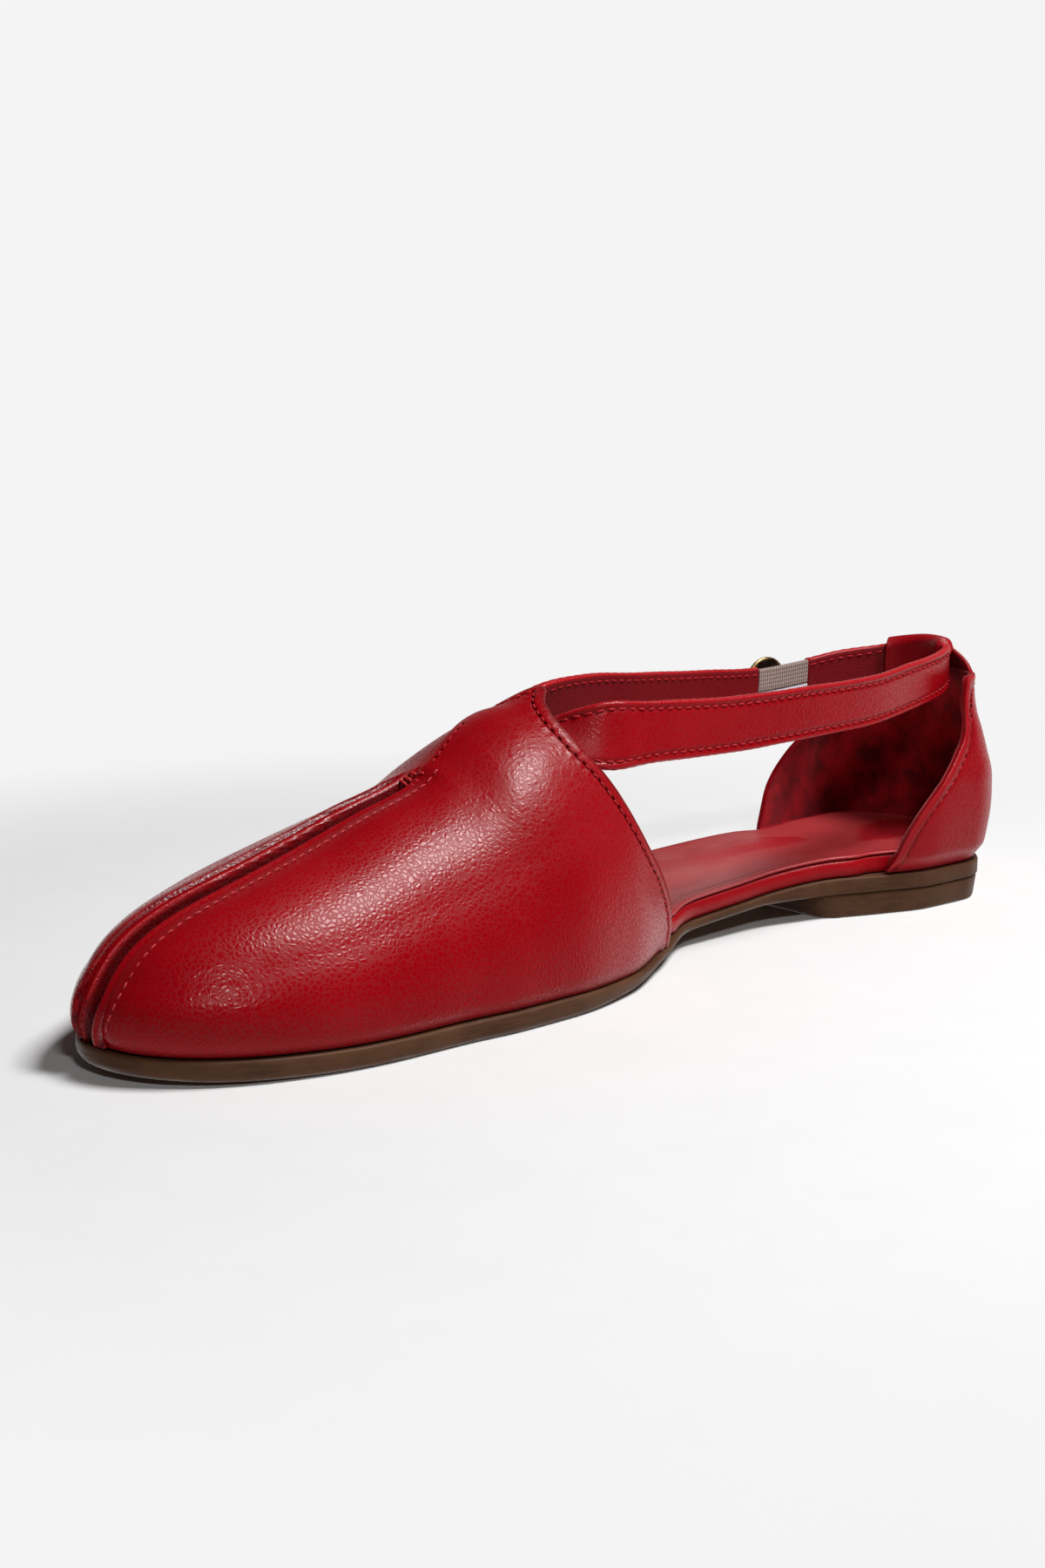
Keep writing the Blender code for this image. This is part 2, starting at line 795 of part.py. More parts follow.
def cut_path(path, start, end):
    """Part of the outer-side path between two places along the sole."""
    mids = path.mean(axis=1)
    turn = int(np.argmin(mids[:, 0]))
    xs = mids[turn:, 0]
    pairs = path[turn:].reshape(len(xs), 6)

    def at(x):
        return np.array([np.interp(x, xs, pairs[:, c]) for c in range(6)]).reshape(2, 3)

    inside = [p for p, x in zip(path[turn:], xs) if start + 0.001 < x < end - 0.001]
    return np.array([at(start)] + inside + [at(end)])


def make_straps():
    path = strap_path()
    mids = path.mean(axis=1)
    turn = int(np.argmin(mids[:, 0]))
    rear = turn + int(np.searchsorted(mids[turn:, 0], ELASTIC_REAR - 0.001))
    end = cut_path(path, ELASTIC_REAR, ELASTIC_FRONT)[:1]
    main = np.concatenate((path[:rear], end))
    flat = np.zeros(len(main))
    ribbon_solid("ankle_strap", main, flat, flat + STRAP_THICK, flat, (0.43, 0.008, 0.016), 0.38)

    front_end = float(mids[-1, 0])
    front = cut_path(path, ELASTIC_FRONT, front_end)
    tongue = cut_path(path, TONGUE_END, ELASTIC_FRONT - GAP)
    skin = (STRAP_THICK - ELASTIC_THICK) / 2
    both = np.concatenate((tongue, front))
    outer = np.zeros(len(both))
    depth = np.concatenate((np.full(len(tongue), skin), np.full(len(front), STRAP_THICK)))
    slim = np.where(depth < STRAP_THICK, (STRAP_WIDTH - TONGUE_WIDTH) / 2, 0.0)
    ribbon_solid("strap_front", both, outer, depth, slim, (0.43, 0.008, 0.016), 0.38)

    band = cut_path(path, ELASTIC_REAR + GAP, ELASTIC_FRONT - 2 * GAP)
    near = np.full(len(band), skin + GAP)
    trim = np.full(len(band), (STRAP_WIDTH - ELASTIC_WIDTH) / 2)
    ribbon_solid("elastic", band, near, near + ELASTIC_THICK, trim, (0.42, 0.38, 0.38), 0.85)
    return path


def make_button(path):
    """Domed disc on a short post, standing on the outer face of the strap's tongue."""
    spot = cut_path(path, BUTTON_PLACE, BUTTON_PLACE + 0.004)
    middle = spot[0].mean(axis=0) + np.array((0.0, 0.0, BUTTON_RAISE))
    inward = ribbon_frame(spot)[0]
    out = -inward
    side = np.cross(out, (0.0, 0.0, 1.0))
    side /= np.linalg.norm(side)
    up = np.cross(side, out)
    profile = (
        (0.30, GAP), (0.30, 0.0010), (0.93, 0.0010), (1.00, 0.0014),
        (1.00, 0.0019), (0.93, 0.0022), (0.80, 0.0021), (0.0, 0.0010 + BUTTON_THICK * 0.55),
    )
    count = 24
    data = bmesh.new()
    rows = []
    for share, depth in profile:
        row = []
        for k in range(count):
            angle = 2 * math.pi * k / count
            radial = side * math.cos(angle) + up * math.sin(angle)
            row.append(data.verts.new(middle + out * depth + radial * share * BUTTON_RADIUS))
        rows.append(row)
    for low, high in zip(rows, rows[1:]):
        for k in range(count):
            n = (k + 1) % count
            data.faces.new((low[k], low[n], high[n], high[k]))
    data.faces.new(rows[0][::-1])
    return finish_object("button", data, (0.16, 0.10, 0.06), 0.35, 0.8)


def strap_depth(point, out, path):
    """How far inside the sole's outline the strap's outer face lies, and its top height."""
    best = None
    flat = path[:, 0, :2]
    direction = -out
    for a, b, top_a, top_b in zip(flat, flat[1:], path[:, 0, 2], path[1:, 0, 2]):
        edge = b - a
        cross = direction[0] * edge[1] - direction[1] * edge[0]
        if abs(cross) < 1e-12:
            continue
        offset = a - point
        depth = (offset[0] * edge[1] - offset[1] * edge[0]) / cross
        share = (offset[0] * direction[1] - offset[1] * direction[0]) / cross
        if 0 <= share <= 1 and depth > 0 and (best is None or depth < best[0]):
            best = (depth, top_a + (top_b - top_a) * share)
    return best


def make_counter(path):
    """Heel quarter: wall round the heel whose top tab folds over the strap."""
    points, outs, run = heel_line(30)
    within = [TAB_HALF * k / 5 for k in range(6)]
    within += [TAB_HALF + (TAB_FOOT_HALF - TAB_HALF) * k / 5 for k in range(1, 6)]
    stations = [float(s) for s in run if abs(s) > TAB_FOOT_HALF + 0.0008]
    stations = sorted(set(stations + within + [-s for s in within]), reverse=True)
    rows_low = 11
    rows = []
    order = np.argsort(run)
    for station in stations:
        point = np.array([np.interp(station, run[order], points[order, c]) for c in range(2)])
        out = np.array([np.interp(station, run[order], outs[order, c]) for c in range(2)])
        out /= np.linalg.norm(out)
        floor = sole_top(max(point[0], 0.0)) + GAP
        front, side = (COUNTER_FRONT, 1) if point[1] > 0 else (COUNTER_FRONT_OUTER, 2)
        top_share = curve(COUNTER_EDGE, point[0] / front, lambda row: row[0],
                          lambda row: row[side])
        top = max(COUNTER_HEIGHT * top_share, floor + 0.0012)
        column = []
        for k in range(rows_low + 1):
            z = floor + (top - floor) * k / rows_low
            reach = WALL * curve(BACK_CURVE, z / COUNTER_HEIGHT, lambda row: row[1])
            reach = reach if k else -FEATHER_INSET
            column.append(np.array((*(point + out * reach), z)))
        column += tab_column(point, out, column[-1], abs(station), path)
        rows.append(column)
    lifts = [[np.zeros(3)] * len(row) for row in rows]
    feet = [[k == 0 for k in range(len(row))] for row in rows]
    walls = [[WALL if k <= rows_low else TAB_WALL for k in range(len(row))] for row in rows]
    return wall_solid("counter", rows, lifts, feet, walls, (0.43, 0.008, 0.016), 0.38)


def tab_column(point, out, base, station, path):
    """Column of the tab: up behind the strap, over its top edge and down inside it."""
    climb_rows = 6
    finish = 1 - (station - TAB_HALF) / (TAB_FOOT_HALF - TAB_HALF)
    if finish <= 0:
        return [base] * climb_rows
    depth, crest = strap_depth(point, out, path)
    behind = path + (ribbon_frame(path) * STRAP_THICK)[:, None, :]
    depth_behind = strap_depth(point, out, behind)[0]
    begin = float(np.dot(base[:2] - point, out))
    fold = (depth_behind - depth) / 2 + TAB_WALL + TAB_EASE
    centre = -(depth + depth_behind) / 2
    ceiling = crest + TAB_EASE + TAB_WALL
    share = ease(min(finish, 1.0))
    column = []
    for k in range(1, climb_rows + 1):
        t = share * k / climb_rows
        reach = begin + (centre + fold - begin) * t ** TAB_LEAN
        z = base[2] + (ceiling - fold - base[2]) * t
        column.append(np.array((*(point + out * reach), z)))
    if finish < 1:
        return column
    for k in range(1, 9):
        angle = math.pi * k / 8
        reach = centre + fold * math.cos(angle)
        z = ceiling - fold * (1 - math.sin(angle))
        column.append(np.array((*(point + out * reach), z)))
    for share_down in (0.35, 0.60, 0.85):
        z = crest - STRAP_WIDTH * share_down
        column.append(np.array((*(point + out * (centre - fold)), z)))
    return column


def centre_on_floor(items):
    """Put the origin under the middle of the whole shoe, on the floor."""
    corners = np.array([v.co[:] for item in items for v in item.data.vertices])
    middle = (corners.min(axis=0) + corners.max(axis=0)) / 2
    for item in items:
        item.location = (-middle[0], -middle[1], 0.0)


def main():
    clear_scene()
    make_outsole()
    make_heel()
    make_insole()
    make_footbed()
    make_vamp()
    path = make_straps()
    make_button(path)
    make_counter(path)
    centre_on_floor([item for item in bpy.data.objects if item.type == "MESH"])


main()
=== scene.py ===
"""Looks for the closed-toe flat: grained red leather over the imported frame.

The last is described by the same named sizes as the part, so every seam, fold and crease
is placed in the shoe's own measures. X runs to the toe, Y to the inner side, Z up.
"""
import math

import bmesh
import bpy
import numpy as np
from mathutils import Matrix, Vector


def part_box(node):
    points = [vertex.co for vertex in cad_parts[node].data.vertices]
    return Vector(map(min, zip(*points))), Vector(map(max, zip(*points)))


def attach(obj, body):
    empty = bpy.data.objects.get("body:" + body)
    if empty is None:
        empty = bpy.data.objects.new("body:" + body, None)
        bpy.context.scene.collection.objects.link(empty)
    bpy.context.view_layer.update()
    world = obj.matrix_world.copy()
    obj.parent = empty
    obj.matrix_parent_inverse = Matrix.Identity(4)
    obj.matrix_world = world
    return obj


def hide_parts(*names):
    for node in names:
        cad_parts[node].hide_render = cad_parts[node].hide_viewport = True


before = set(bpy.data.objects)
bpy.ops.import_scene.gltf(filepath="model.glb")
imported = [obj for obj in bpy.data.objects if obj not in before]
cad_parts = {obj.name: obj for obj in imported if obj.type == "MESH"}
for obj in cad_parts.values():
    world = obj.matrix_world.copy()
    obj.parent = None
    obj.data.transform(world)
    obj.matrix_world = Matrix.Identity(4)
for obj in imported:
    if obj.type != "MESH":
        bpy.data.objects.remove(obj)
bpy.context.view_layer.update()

# Sizes of the shoe, in metres
LENGTH = 0.255
BALL_WIDTH = 0.0763
WAIST_WIDTH = 0.0399
HEEL_WIDTH = 0.0475
HEEL_ROUND = 0.017
TOE_ROUND_INNER = 0.055
TOE_ROUND_OUTER = 0.075
HEEL_LIFT = 0.0059
TOE_SPRING = 0.0012
OUTSOLE_HEEL = 0.0038
OUTSOLE_WAIST = 0.0023
OUTSOLE_FORE = 0.0043
OUTSOLE_BEVEL = 0.0014
TOE_BEVEL = 0.0009
INSOLE_THICK = 0.0041
FOOTBED_THICK = 0.0009
HEEL_CORNER = 0.004
HEEL_TAPER = 0.0008
WALL = 0.0016
EDGE_THICK = 0.0009
GAP = 0.0003
FEATHER_INSET = 0.0005
OPEN_INSET = 0.0009
CROWN_HEIGHT = 0.062
VAMP_BULGE = 0.0013
STRIP_HALF = 0.0038
STRIP_SAG = 0.0003
THROAT_FADE = 4
COUNTER_HEIGHT = 0.0553
COUNTER_FRONT = 0.0430
COUNTER_FRONT_OUTER = 0.0435
TAB_WALL = 0.0010
TAB_HALF = 0.0118
TAB_FOOT_HALF = 0.0200
TAB_LEAN = 2.3
TAB_EASE = 0.0005
STRAP_TOP = 0.0615
STRAP_WIDTH = 0.0118
STRAP_THICK = 0.0020
STRAP_TUCK = 0.008
TUCK_GAP = 0.0009
ELASTIC_THICK = 0.0009
ELASTIC_WIDTH = 0.0108
TONGUE_WIDTH = 0.0092
ELASTIC_FRONT = 0.0468
ELASTIC_REAR = 0.0300
TONGUE_END = 0.0362
BUTTON_RADIUS = 0.0065
BUTTON_PLACE = 0.0410
BUTTON_RAISE = 0.0010
FLAT_START = 0.647
FLAT_END = 0.776
HEEL_BREAST = 0.233
RIDGE_TURN = 0.745
RIDGE_END = 0.870
CHANNEL_END = 0.677
WING_FOOT = 0.465

OUTLINE = (
    (0.000, HEEL_WIDTH, 0.505, 0.505),
    (0.060, HEEL_WIDTH, 0.503, 0.503),
    (0.118, HEEL_WIDTH, 0.493, 0.495),
    (0.176, HEEL_WIDTH, 0.404, 0.461),
    (0.235, WAIST_WIDTH, 0.345, 0.578),
    (0.314, WAIST_WIDTH, 0.262, 0.665),
    (0.392, WAIST_WIDTH, 0.262, 0.735),
    (0.470, BALL_WIDTH, 0.256, 0.450),
    (0.549, BALL_WIDTH, 0.379, 0.512),
    (0.627, BALL_WIDTH, 0.427, 0.557),
    (0.686, BALL_WIDTH, 0.431, 0.569),
    (0.745, BALL_WIDTH, 0.418, 0.558),
    (0.800, BALL_WIDTH, 0.416, 0.531),
    (0.855, BALL_WIDTH, 0.414, 0.502),
    (0.900, BALL_WIDTH, 0.410, 0.475),
    (0.950, BALL_WIDTH, 0.410, 0.440),
    (1.000, BALL_WIDTH, 0.410, 0.425),
)
CROWN = (
    (0.46, 1.130), (0.51, 1.075), (0.56, 1.006), (0.588, 0.956), (0.616, 0.924),
    (0.647, 0.868), (0.675, 0.793), (0.706, 0.735), (0.749, 0.684), (0.804, 0.614),
    (0.859, 0.551), (0.910, 0.499), (0.961, 0.458), (1.010, 0.430),
)
FULLNESS = (
    (0.50, 2.15, 2.15, 1.45, 2.00),
    (0.66, 2.15, 2.15, 1.30, 2.00),
    (0.72, 2.15, 2.15, 1.40, 2.00),
    (0.80, 2.20, 2.20, 1.72, 2.10),
    (0.90, 2.60, 2.60, 2.25, 2.40),
    (1.00, 3.15, 3.15, 3.15, 3.15),
)
TOPLINE = (
    (0.00, 0.463), (0.05, 0.459), (0.10, 0.461), (0.20, 0.473), (0.30, 0.491),
    (0.40, 0.512), (0.50, 0.528), (0.60, 0.541), (0.70, 0.5545), (0.80, 0.5675),
    (0.87, 0.5750), (0.94, 0.5780), (0.98, 0.5730), (1.00, 0.5565),
)
BACK_CURVE = (
    (0.18, -0.3), (0.22, 0.5), (0.30, 1.1), (0.45, 1.6), (0.55, 1.5), (0.67, 0.5),
    (0.76, -0.4), (0.84, -1.3), (0.92, -1.75), (1.02, -1.9),
)
COUNTER_EDGE = (
    (1.00, 0.380, 0.360), (0.90, 0.412, 0.385), (0.79, 0.438, 0.400), (0.68, 0.551, 0.500),
    (0.58, 0.695, 0.640), (0.44, 0.856, 0.815), (0.31, 0.945, 0.910), (0.19, 1.000, 1.000),
)
STRAP_PATH = (
    (0.540, 0.68, 0.982, 1.17, 0.34),
    (0.490, 0.80, 0.972, 1.10, 0.16),
    (0.400, 0.90, 0.955, 1.04, 0.05),
    (0.300, 0.94, 0.955, 1.00, 0.00),
    (0.210, 0.91, 0.957, 0.97, 0.00),
    (0.140, 0.80, 0.976, 0.95, 0.00),
    (0.085, 0.67, 0.988, 0.91, 0.00),
    (0.050, 0.52, 1.000, 0.87, 0.00),
    (0.030, 0.28, 1.003, 0.84, 0.00),
    (0.024, 0.00, 1.000, 0.82, 0.00),
    (0.030, -0.28, 0.984, 0.83, 0.00),
    (0.050, -0.50, 0.965, 0.87, 0.00),
    (0.085, -0.68, 0.948, 0.92, 0.00),
    (0.125, -0.83, 0.920, 0.97, 0.00),
    (0.190, -0.92, 0.904, 1.00, 0.00),
    (0.260, -0.93, 0.920, 1.00, 0.00),
    (0.340, -0.92, 0.942, 1.04, 0.03),
    (0.420, -0.87, 0.968, 1.08, 0.10),
    (0.480, -0.82, 0.958, 1.12, 0.25),
    (0.530, -0.80, 0.895, 1.10, 0.45),
)
TUCK_INNER = (0.97, 0.80)
TUCK_OUTER = (0.90, 0.725)

# Seam of the inner panel over the outer one, behind the channel: share of LENGTH, Y in metres
SIDE_SEAM = (
    (0.6790, -0.0004), (0.6661, -0.0012), (0.6502, -0.0025), (0.6311, -0.0042),
    (0.6121, -0.0056), (0.5900, -0.0082), (0.5680, -0.0125),
)

# Creases of the vamp: side, then (share of LENGTH, share of height) start and end,
# bow sideways, half width and depth, all three in metres
CREASES = (
    (1, (0.598, 0.93), (0.640, 0.86), 0.0014, 0.0020, 0.00007),
    (1, (0.590, 0.86), (0.650, 0.76), 0.0018, 0.0022, 0.00007),
    (1, (0.592, 0.77), (0.655, 0.67), 0.0018, 0.0021, 0.00006),
    (1, (0.660, 0.92), (0.705, 0.80), 0.0020, 0.0026, 0.00008),
    (-1, (0.600, 0.93), (0.648, 0.85), 0.0014, 0.0020, 0.00007),
    (-1, (0.592, 0.85), (0.652, 0.74), 0.0016, 0.0022, 0.00007),
)


class Profile:
    """Smooth monotone curve through the rows of a table, for whole arrays at once."""

    def __init__(self, rows):
        rows = sorted(rows)
        self.x = np.array([r[0] for r in rows], float)
        self.y = np.array([r[1] for r in rows], float)
        steps = np.diff(self.x)
        slopes = np.diff(self.y) / steps
        tangents = np.zeros(len(self.x))
        tangents[0] = slopes[0]
        tangents[-1] = slopes[-1]
        for k in range(1, len(self.x) - 1):
            before, after = slopes[k - 1], slopes[k]
            if before * after > 0:
                w0 = 2 * steps[k] + steps[k - 1]
                w1 = steps[k] + 2 * steps[k - 1]
                tangents[k] = (w0 + w1) / (w0 / before + w1 / after)
        self.m = tangents
        self.h = steps

    def __call__(self, value):
        v = np.clip(np.asarray(value, float), self.x[0], self.x[-1])
        k = np.clip(np.searchsorted(self.x, v, side="right") - 1, 0, len(self.h) - 1)
        t = (v - self.x[k]) / self.h[k]
        rise = self.y[k] * (1 + 2 * t) * (1 - t) ** 2 + self.y[k + 1] * t * t * (3 - 2 * t)
        lean = self.m[k] * t * (1 - t) ** 2 - self.m[k + 1] * t * t * (1 - t)
        return rise + self.h[k] * lean


INNER_EDGE = Profile([(r[0], r[1] * r[2]) for r in OUTLINE])
OUTER_EDGE = Profile([(r[0], r[1] * r[3]) for r in OUTLINE])
CROWN_LINE = Profile(CROWN)
TOP_LINE = Profile(TOPLINE)
BACK_LINE = Profile(BACK_CURVE)
FULL = {
    (1, 0): Profile([(r[0], r[1]) for r in FULLNESS]),
    (1, 1): Profile([(r[0], r[2]) for r in FULLNESS]),
    (-1, 0): Profile([(r[0], r[3]) for r in FULLNESS]),
    (-1, 1): Profile([(r[0], r[4]) for r in FULLNESS]),
}


def ease(t):
    t = np.clip(t, 0.0, 1.0)
    return t * t * (3 - 2 * t)


def bell(distance, half):
    """Soft bump that is 1 on the line and fades to 0 away from it."""
    return np.exp(-(np.asarray(distance) / half) ** 2)


def half_width(x, side):
    x = np.asarray(x, float)
    width = (INNER_EDGE if side > 0 else OUTER_EDGE)(x / LENGTH)
    t = np.clip((HEEL_ROUND - x) / HEEL_ROUND, 0.0, 1.0)
    width = width * np.sqrt(1 - t * t)
    nose = TOE_ROUND_INNER if side > 0 else TOE_ROUND_OUTER
    power = 2.15 if side > 0 else 2.0
    t = np.clip((x - LENGTH + nose) / nose, 0.0, 1.0)
    return width * (1 - t ** power) ** (1 / power)


def turn_to_x(turn):
    return LENGTH * (1 - np.cos(math.pi * np.asarray(turn, float))) / 2


def x_to_turn(x):
    return np.arccos(1 - 2 * np.asarray(x, float) / LENGTH) / math.pi


def edge_point(turn, side, inset):
    """Points of the sole's outline moved in by inset, and the outward directions."""
    turn = np.asarray(turn, float)
    near = np.maximum(turn - 0.004, 0.0)
    far = np.minimum(turn + 0.004, 1.0)
    x = turn_to_x(turn)
    y = half_width(x, side)
    dx = turn_to_x(far) - turn_to_x(near)
    dx = np.where((turn <= 0.0) | (turn >= 1.0), 0.0, dx)
    dy = half_width(turn_to_x(far), side) - half_width(turn_to_x(near), side)
    size = np.hypot(dx, dy)
    ox, oy = -dy / size, dx / size
    return x - inset * ox, side * (y - inset * oy), ox, side * oy


def sole_under(x):
    x = np.asarray(x, float)
    flat = FLAT_START * LENGTH
    breast = HEEL_BREAST * LENGTH
    rise = np.maximum(x - FLAT_END * LENGTH, 0.0) / (LENGTH * (1 - FLAT_END))
    return HEEL_LIFT * ease((flat - x) / (flat - breast)) + TOE_SPRING * rise * rise


def sole_thick(x):
    share = np.asarray(x, float) / LENGTH
    rear = OUTSOLE_HEEL + (OUTSOLE_WAIST - OUTSOLE_HEEL) * ease((share - 0.21) / 0.13)
    return rear + (OUTSOLE_FORE - OUTSOLE_WAIST) * ease((share - 0.47) / 0.18)


def sole_bevel(x):
    share = ease((np.asarray(x, float) / LENGTH - HEEL_BREAST) / 0.08)
    tip = TOE_BEVEL * ease((np.asarray(x, float) / LENGTH - 0.93) / 0.07)
    return GAP + (np.minimum(OUTSOLE_BEVEL + tip, sole_thick(x) * 0.55) - GAP) * share


def sole_top(x):
    return sole_under(x) + sole_thick(x)


def covered(x):
    front = ease((x - (WING_FOOT - 0.032) * LENGTH) / (0.024 * LENGTH))
    reach = max(COUNTER_FRONT, COUNTER_FRONT_OUTER)
    rear = ease((reach * 1.20 - x) / (reach * 0.14))
    return np.maximum(front, rear)


def board_inset(x):
    tucked = FEATHER_INSET + WALL + 2 * GAP
    return OPEN_INSET + (tucked - OPEN_INSET) * covered(x)


def crown(x):
    return CROWN_HEIGHT * CROWN_LINE(np.asarray(x) / LENGTH)


def ridge_x(x):
    start = RIDGE_TURN * LENGTH
    reach = LENGTH - start
    t = np.clip((np.asarray(x, float) - start) / reach, 0.0, None)
    bent = start + reach * t + (RIDGE_END * LENGTH - LENGTH) * t * t
    return np.where(x <= start, x, bent)


def vamp_point(turn, side, out):
    """Outer face of the vamp; out is 1 on the feather line and 0 on the ridge."""
    fx, fy, _, _ = edge_point(turn, side, FEATHER_INSET)
    station = turn_to_x(turn)
    ridge = FULL[(side, 0)](station / LENGTH)
    edge = FULL[(side, 1)](station / LENGTH)
    up = np.maximum(1 - out ** ridge, 0.0) ** (1 / edge)
    rx = np.minimum(ridge_x(station), fx)
    dx = fx - rx
    reach = np.hypot(dx, fy)
    swell = VAMP_BULGE * np.sin(math.pi * np.minimum(up / 0.6, 1.0))
    scale = out + swell / reach
    x = rx + dx * scale
    floor = sole_top(station) + GAP
    return np.stack((x, fy * scale, floor + (crown(x) - floor) * up), axis=-1)


def out_at_strip(turn, side):
    fy = edge_point(turn, side, FEATHER_INSET)[1]
    return np.minimum(STRIP_HALF / np.maximum(np.abs(fy), STRIP_HALF), 1.0)


def out_at_up(station, side, up):
    ridge = FULL[(side, 0)](station / LENGTH)
    edge = FULL[(side, 1)](station / LENGTH)
    return (1 - up ** edge) ** (1 / ridge)


def surface_at(share, up, side):
    """Place on the vamp from a share of the length and a share of the height."""
    x = np.asarray(share, float) * LENGTH
    return vamp_point(x_to_turn(x), side, out_at_up(x, side, np.asarray(up, float)))


def last_turn(side):
    low, high = 0.9, 1.0
    for _ in range(40):
        mid = (low + high) / 2
        if abs(float(edge_point(mid, side, FEATHER_INSET)[1])) > STRIP_HALF:
            low = mid
        else:
            high = mid
    return low


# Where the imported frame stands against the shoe's own measures
SOLE_LOW, SOLE_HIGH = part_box("outsole")
WIDEST = float(half_width(np.linspace(0.6, 0.8, 400) * LENGTH, 1).max())
SHIFT = np.array((SOLE_LOW.x, SOLE_HIGH.y - WIDEST, 0.0))


def relax(points, rounds):
    """Evens a grid of points out while its border stays put."""
    points = points.copy()
    for _ in range(rounds):
        middle = points[1:-1, 1:-1]
        along = (points[2:, 1:-1] + points[:-2, 1:-1]) / 2
        across = (points[1:-1, 2:] + points[1:-1, :-2]) / 2
        points[1:-1, 1:-1] = 0.5 * middle + 0.25 * along + 0.25 * across
    return points


def soften(line, rounds, own=2):
    """Evens a row of points out in place; own is the weight of each point's own place."""
    for _ in range(rounds):
        line[1:-1] = (line[2:] + own * line[1:-1] + line[:-2]) / (own + 2)


def unit(rows):
    """The same directions, each with length 1."""
    return rows / np.linalg.norm(rows, axis=-1)[..., None]


def run_along(line):
    """Distance run along a line at each of its points."""
    gaps = np.linalg.norm(np.diff(line, axis=0), axis=1)
    return np.concatenate(([0.0], np.cumsum(gaps)))


def spots_on(stops, run, line):
    """Rows of a line after the given runs."""
    return np.stack([np.interp(stops, run, column) for column in line.T], axis=1)


def grid_normals(points):
    """Unit normals of a grid, turned so that they match rows going first."""
    down = np.gradient(points, axis=0)
    across = np.gradient(points, axis=1)
    normals = np.cross(down, across)
    size = np.linalg.norm(normals, axis=2)[..., None]
    return normals / np.maximum(size, 1e-12)


def add_object(name, mesh, materials, cad=None, weld=True):
    """Puts a mesh in the scene as a piece that rides on the shoe."""
    if weld:
        data = bmesh.new()
        data.from_mesh(mesh)
        bmesh.ops.remove_doubles(data, verts=data.verts, dist=0.000004)
        bmesh.ops.dissolve_degenerate(data, dist=0.000002, edges=data.edges)
        bmesh.ops.recalc_face_normals(data, faces=data.faces)
        data.to_mesh(mesh)
        data.free()
    mesh.shade_smooth()
    for material in materials:
        mesh.materials.append(material)
    item = bpy.data.objects.new(name, mesh)
    bpy.context.scene.collection.objects.link(item)
    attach(item, "root")
    if cad:
        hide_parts(*cad)
    return item


def quads(rows, cols, wrap=False):
    """Faces of a grid, as corner numbers; wrap joins the last column to the first."""
    r = np.arange(rows - 1)[:, None]
    c = np.arange(cols if wrap else cols - 1)[None, :]
    n = (c + 1) % cols
    a = r * cols + c
    b = r * cols + n
    d = (r + 1) * cols + c
    e = (r + 1) * cols + n
    return np.stack((a, b, e, d), axis=-1).reshape(-1, 4)


def closed_tube(rows, cols):
    """Faces of a tube made of rings, with a lid on both ends."""
    lids = [list(range(cols))[::-1], [(rows - 1) * cols + c for c in range(cols)]]
    return quads(rows, cols, wrap=True).tolist() + lids


def build_mesh(name, points, faces, marks=None, slots=None):
    """Mesh in the frame's place, with soft masks stored on its points."""
    mesh = bpy.data.meshes.new(name)
    places = np.asarray(points).reshape(-1, 3) + SHIFT
    mesh.from_pydata(places.tolist(), [], [list(map(int, f)) for f in faces])
    for key, values in (marks or {}).items():
        layer = mesh.attributes.new(key, "FLOAT", "POINT")
        layer.data.foreach_set("value", np.asarray(values, np.float32).ravel())
    if slots is not None:
        mesh.polygons.foreach_set("material_index", np.asarray(slots, np.int32))
    mesh.update()
    return mesh


def distance_to(points, line):
    """Distance of each point to a polyline, with the place along it."""
    points = points.reshape(-1, 3)
    best = np.full(len(points), 1e9)
    place = np.zeros(len(points))
    run = 0.0
    for a, b in zip(line, line[1:]):
        edge = b - a
        size = float(np.linalg.norm(edge))
        if size < 1e-9:
            continue
        t = np.clip(((points - a) @ edge) / (size * size), 0.0, 1.0)
        gap = np.linalg.norm(points - a - t[:, None] * edge, axis=1)
        closer = gap < best
        best = np.where(closer, gap, best)
        place = np.where(closer, run + t * size, place)
        run += size
    return best, place


# Stitching: each kind has its pitch, its length and the radius of its thread

TOPLINE_STITCH = (0.0024, 0.0015, 0.00022)
CHANNEL_STITCH = (0.0022, 0.0016, 0.00020)
SEAM_STITCH = (0.0024, 0.0013, 0.00017)
TACK_STITCH = (0.0023, 0.0022, 0.00034)
STRAP_STITCH = (0.0026, 0.0019, 0.00021)
STRAP_BACK_STITCH = (0.0026, 0.0017, 0.00018)
COUNTER_STITCH = (0.0026, 0.0017, 0.00019)
TOPLINE_HOLE = 0.00038
NEEDLE_HOLE = 0.00032


def even_points(line, pitch):
    """Stops a pitch apart along a line, the directions there and the line's run."""
    run = run_along(line)
    count = max(int(run[-1] / pitch), 2)
    stops = (np.arange(count) + 0.5) * run[-1] / count
    along = spots_on(stops + pitch / 3, run, line) - spots_on(stops - pitch / 3, run, line)
    return stops, unit(along), run


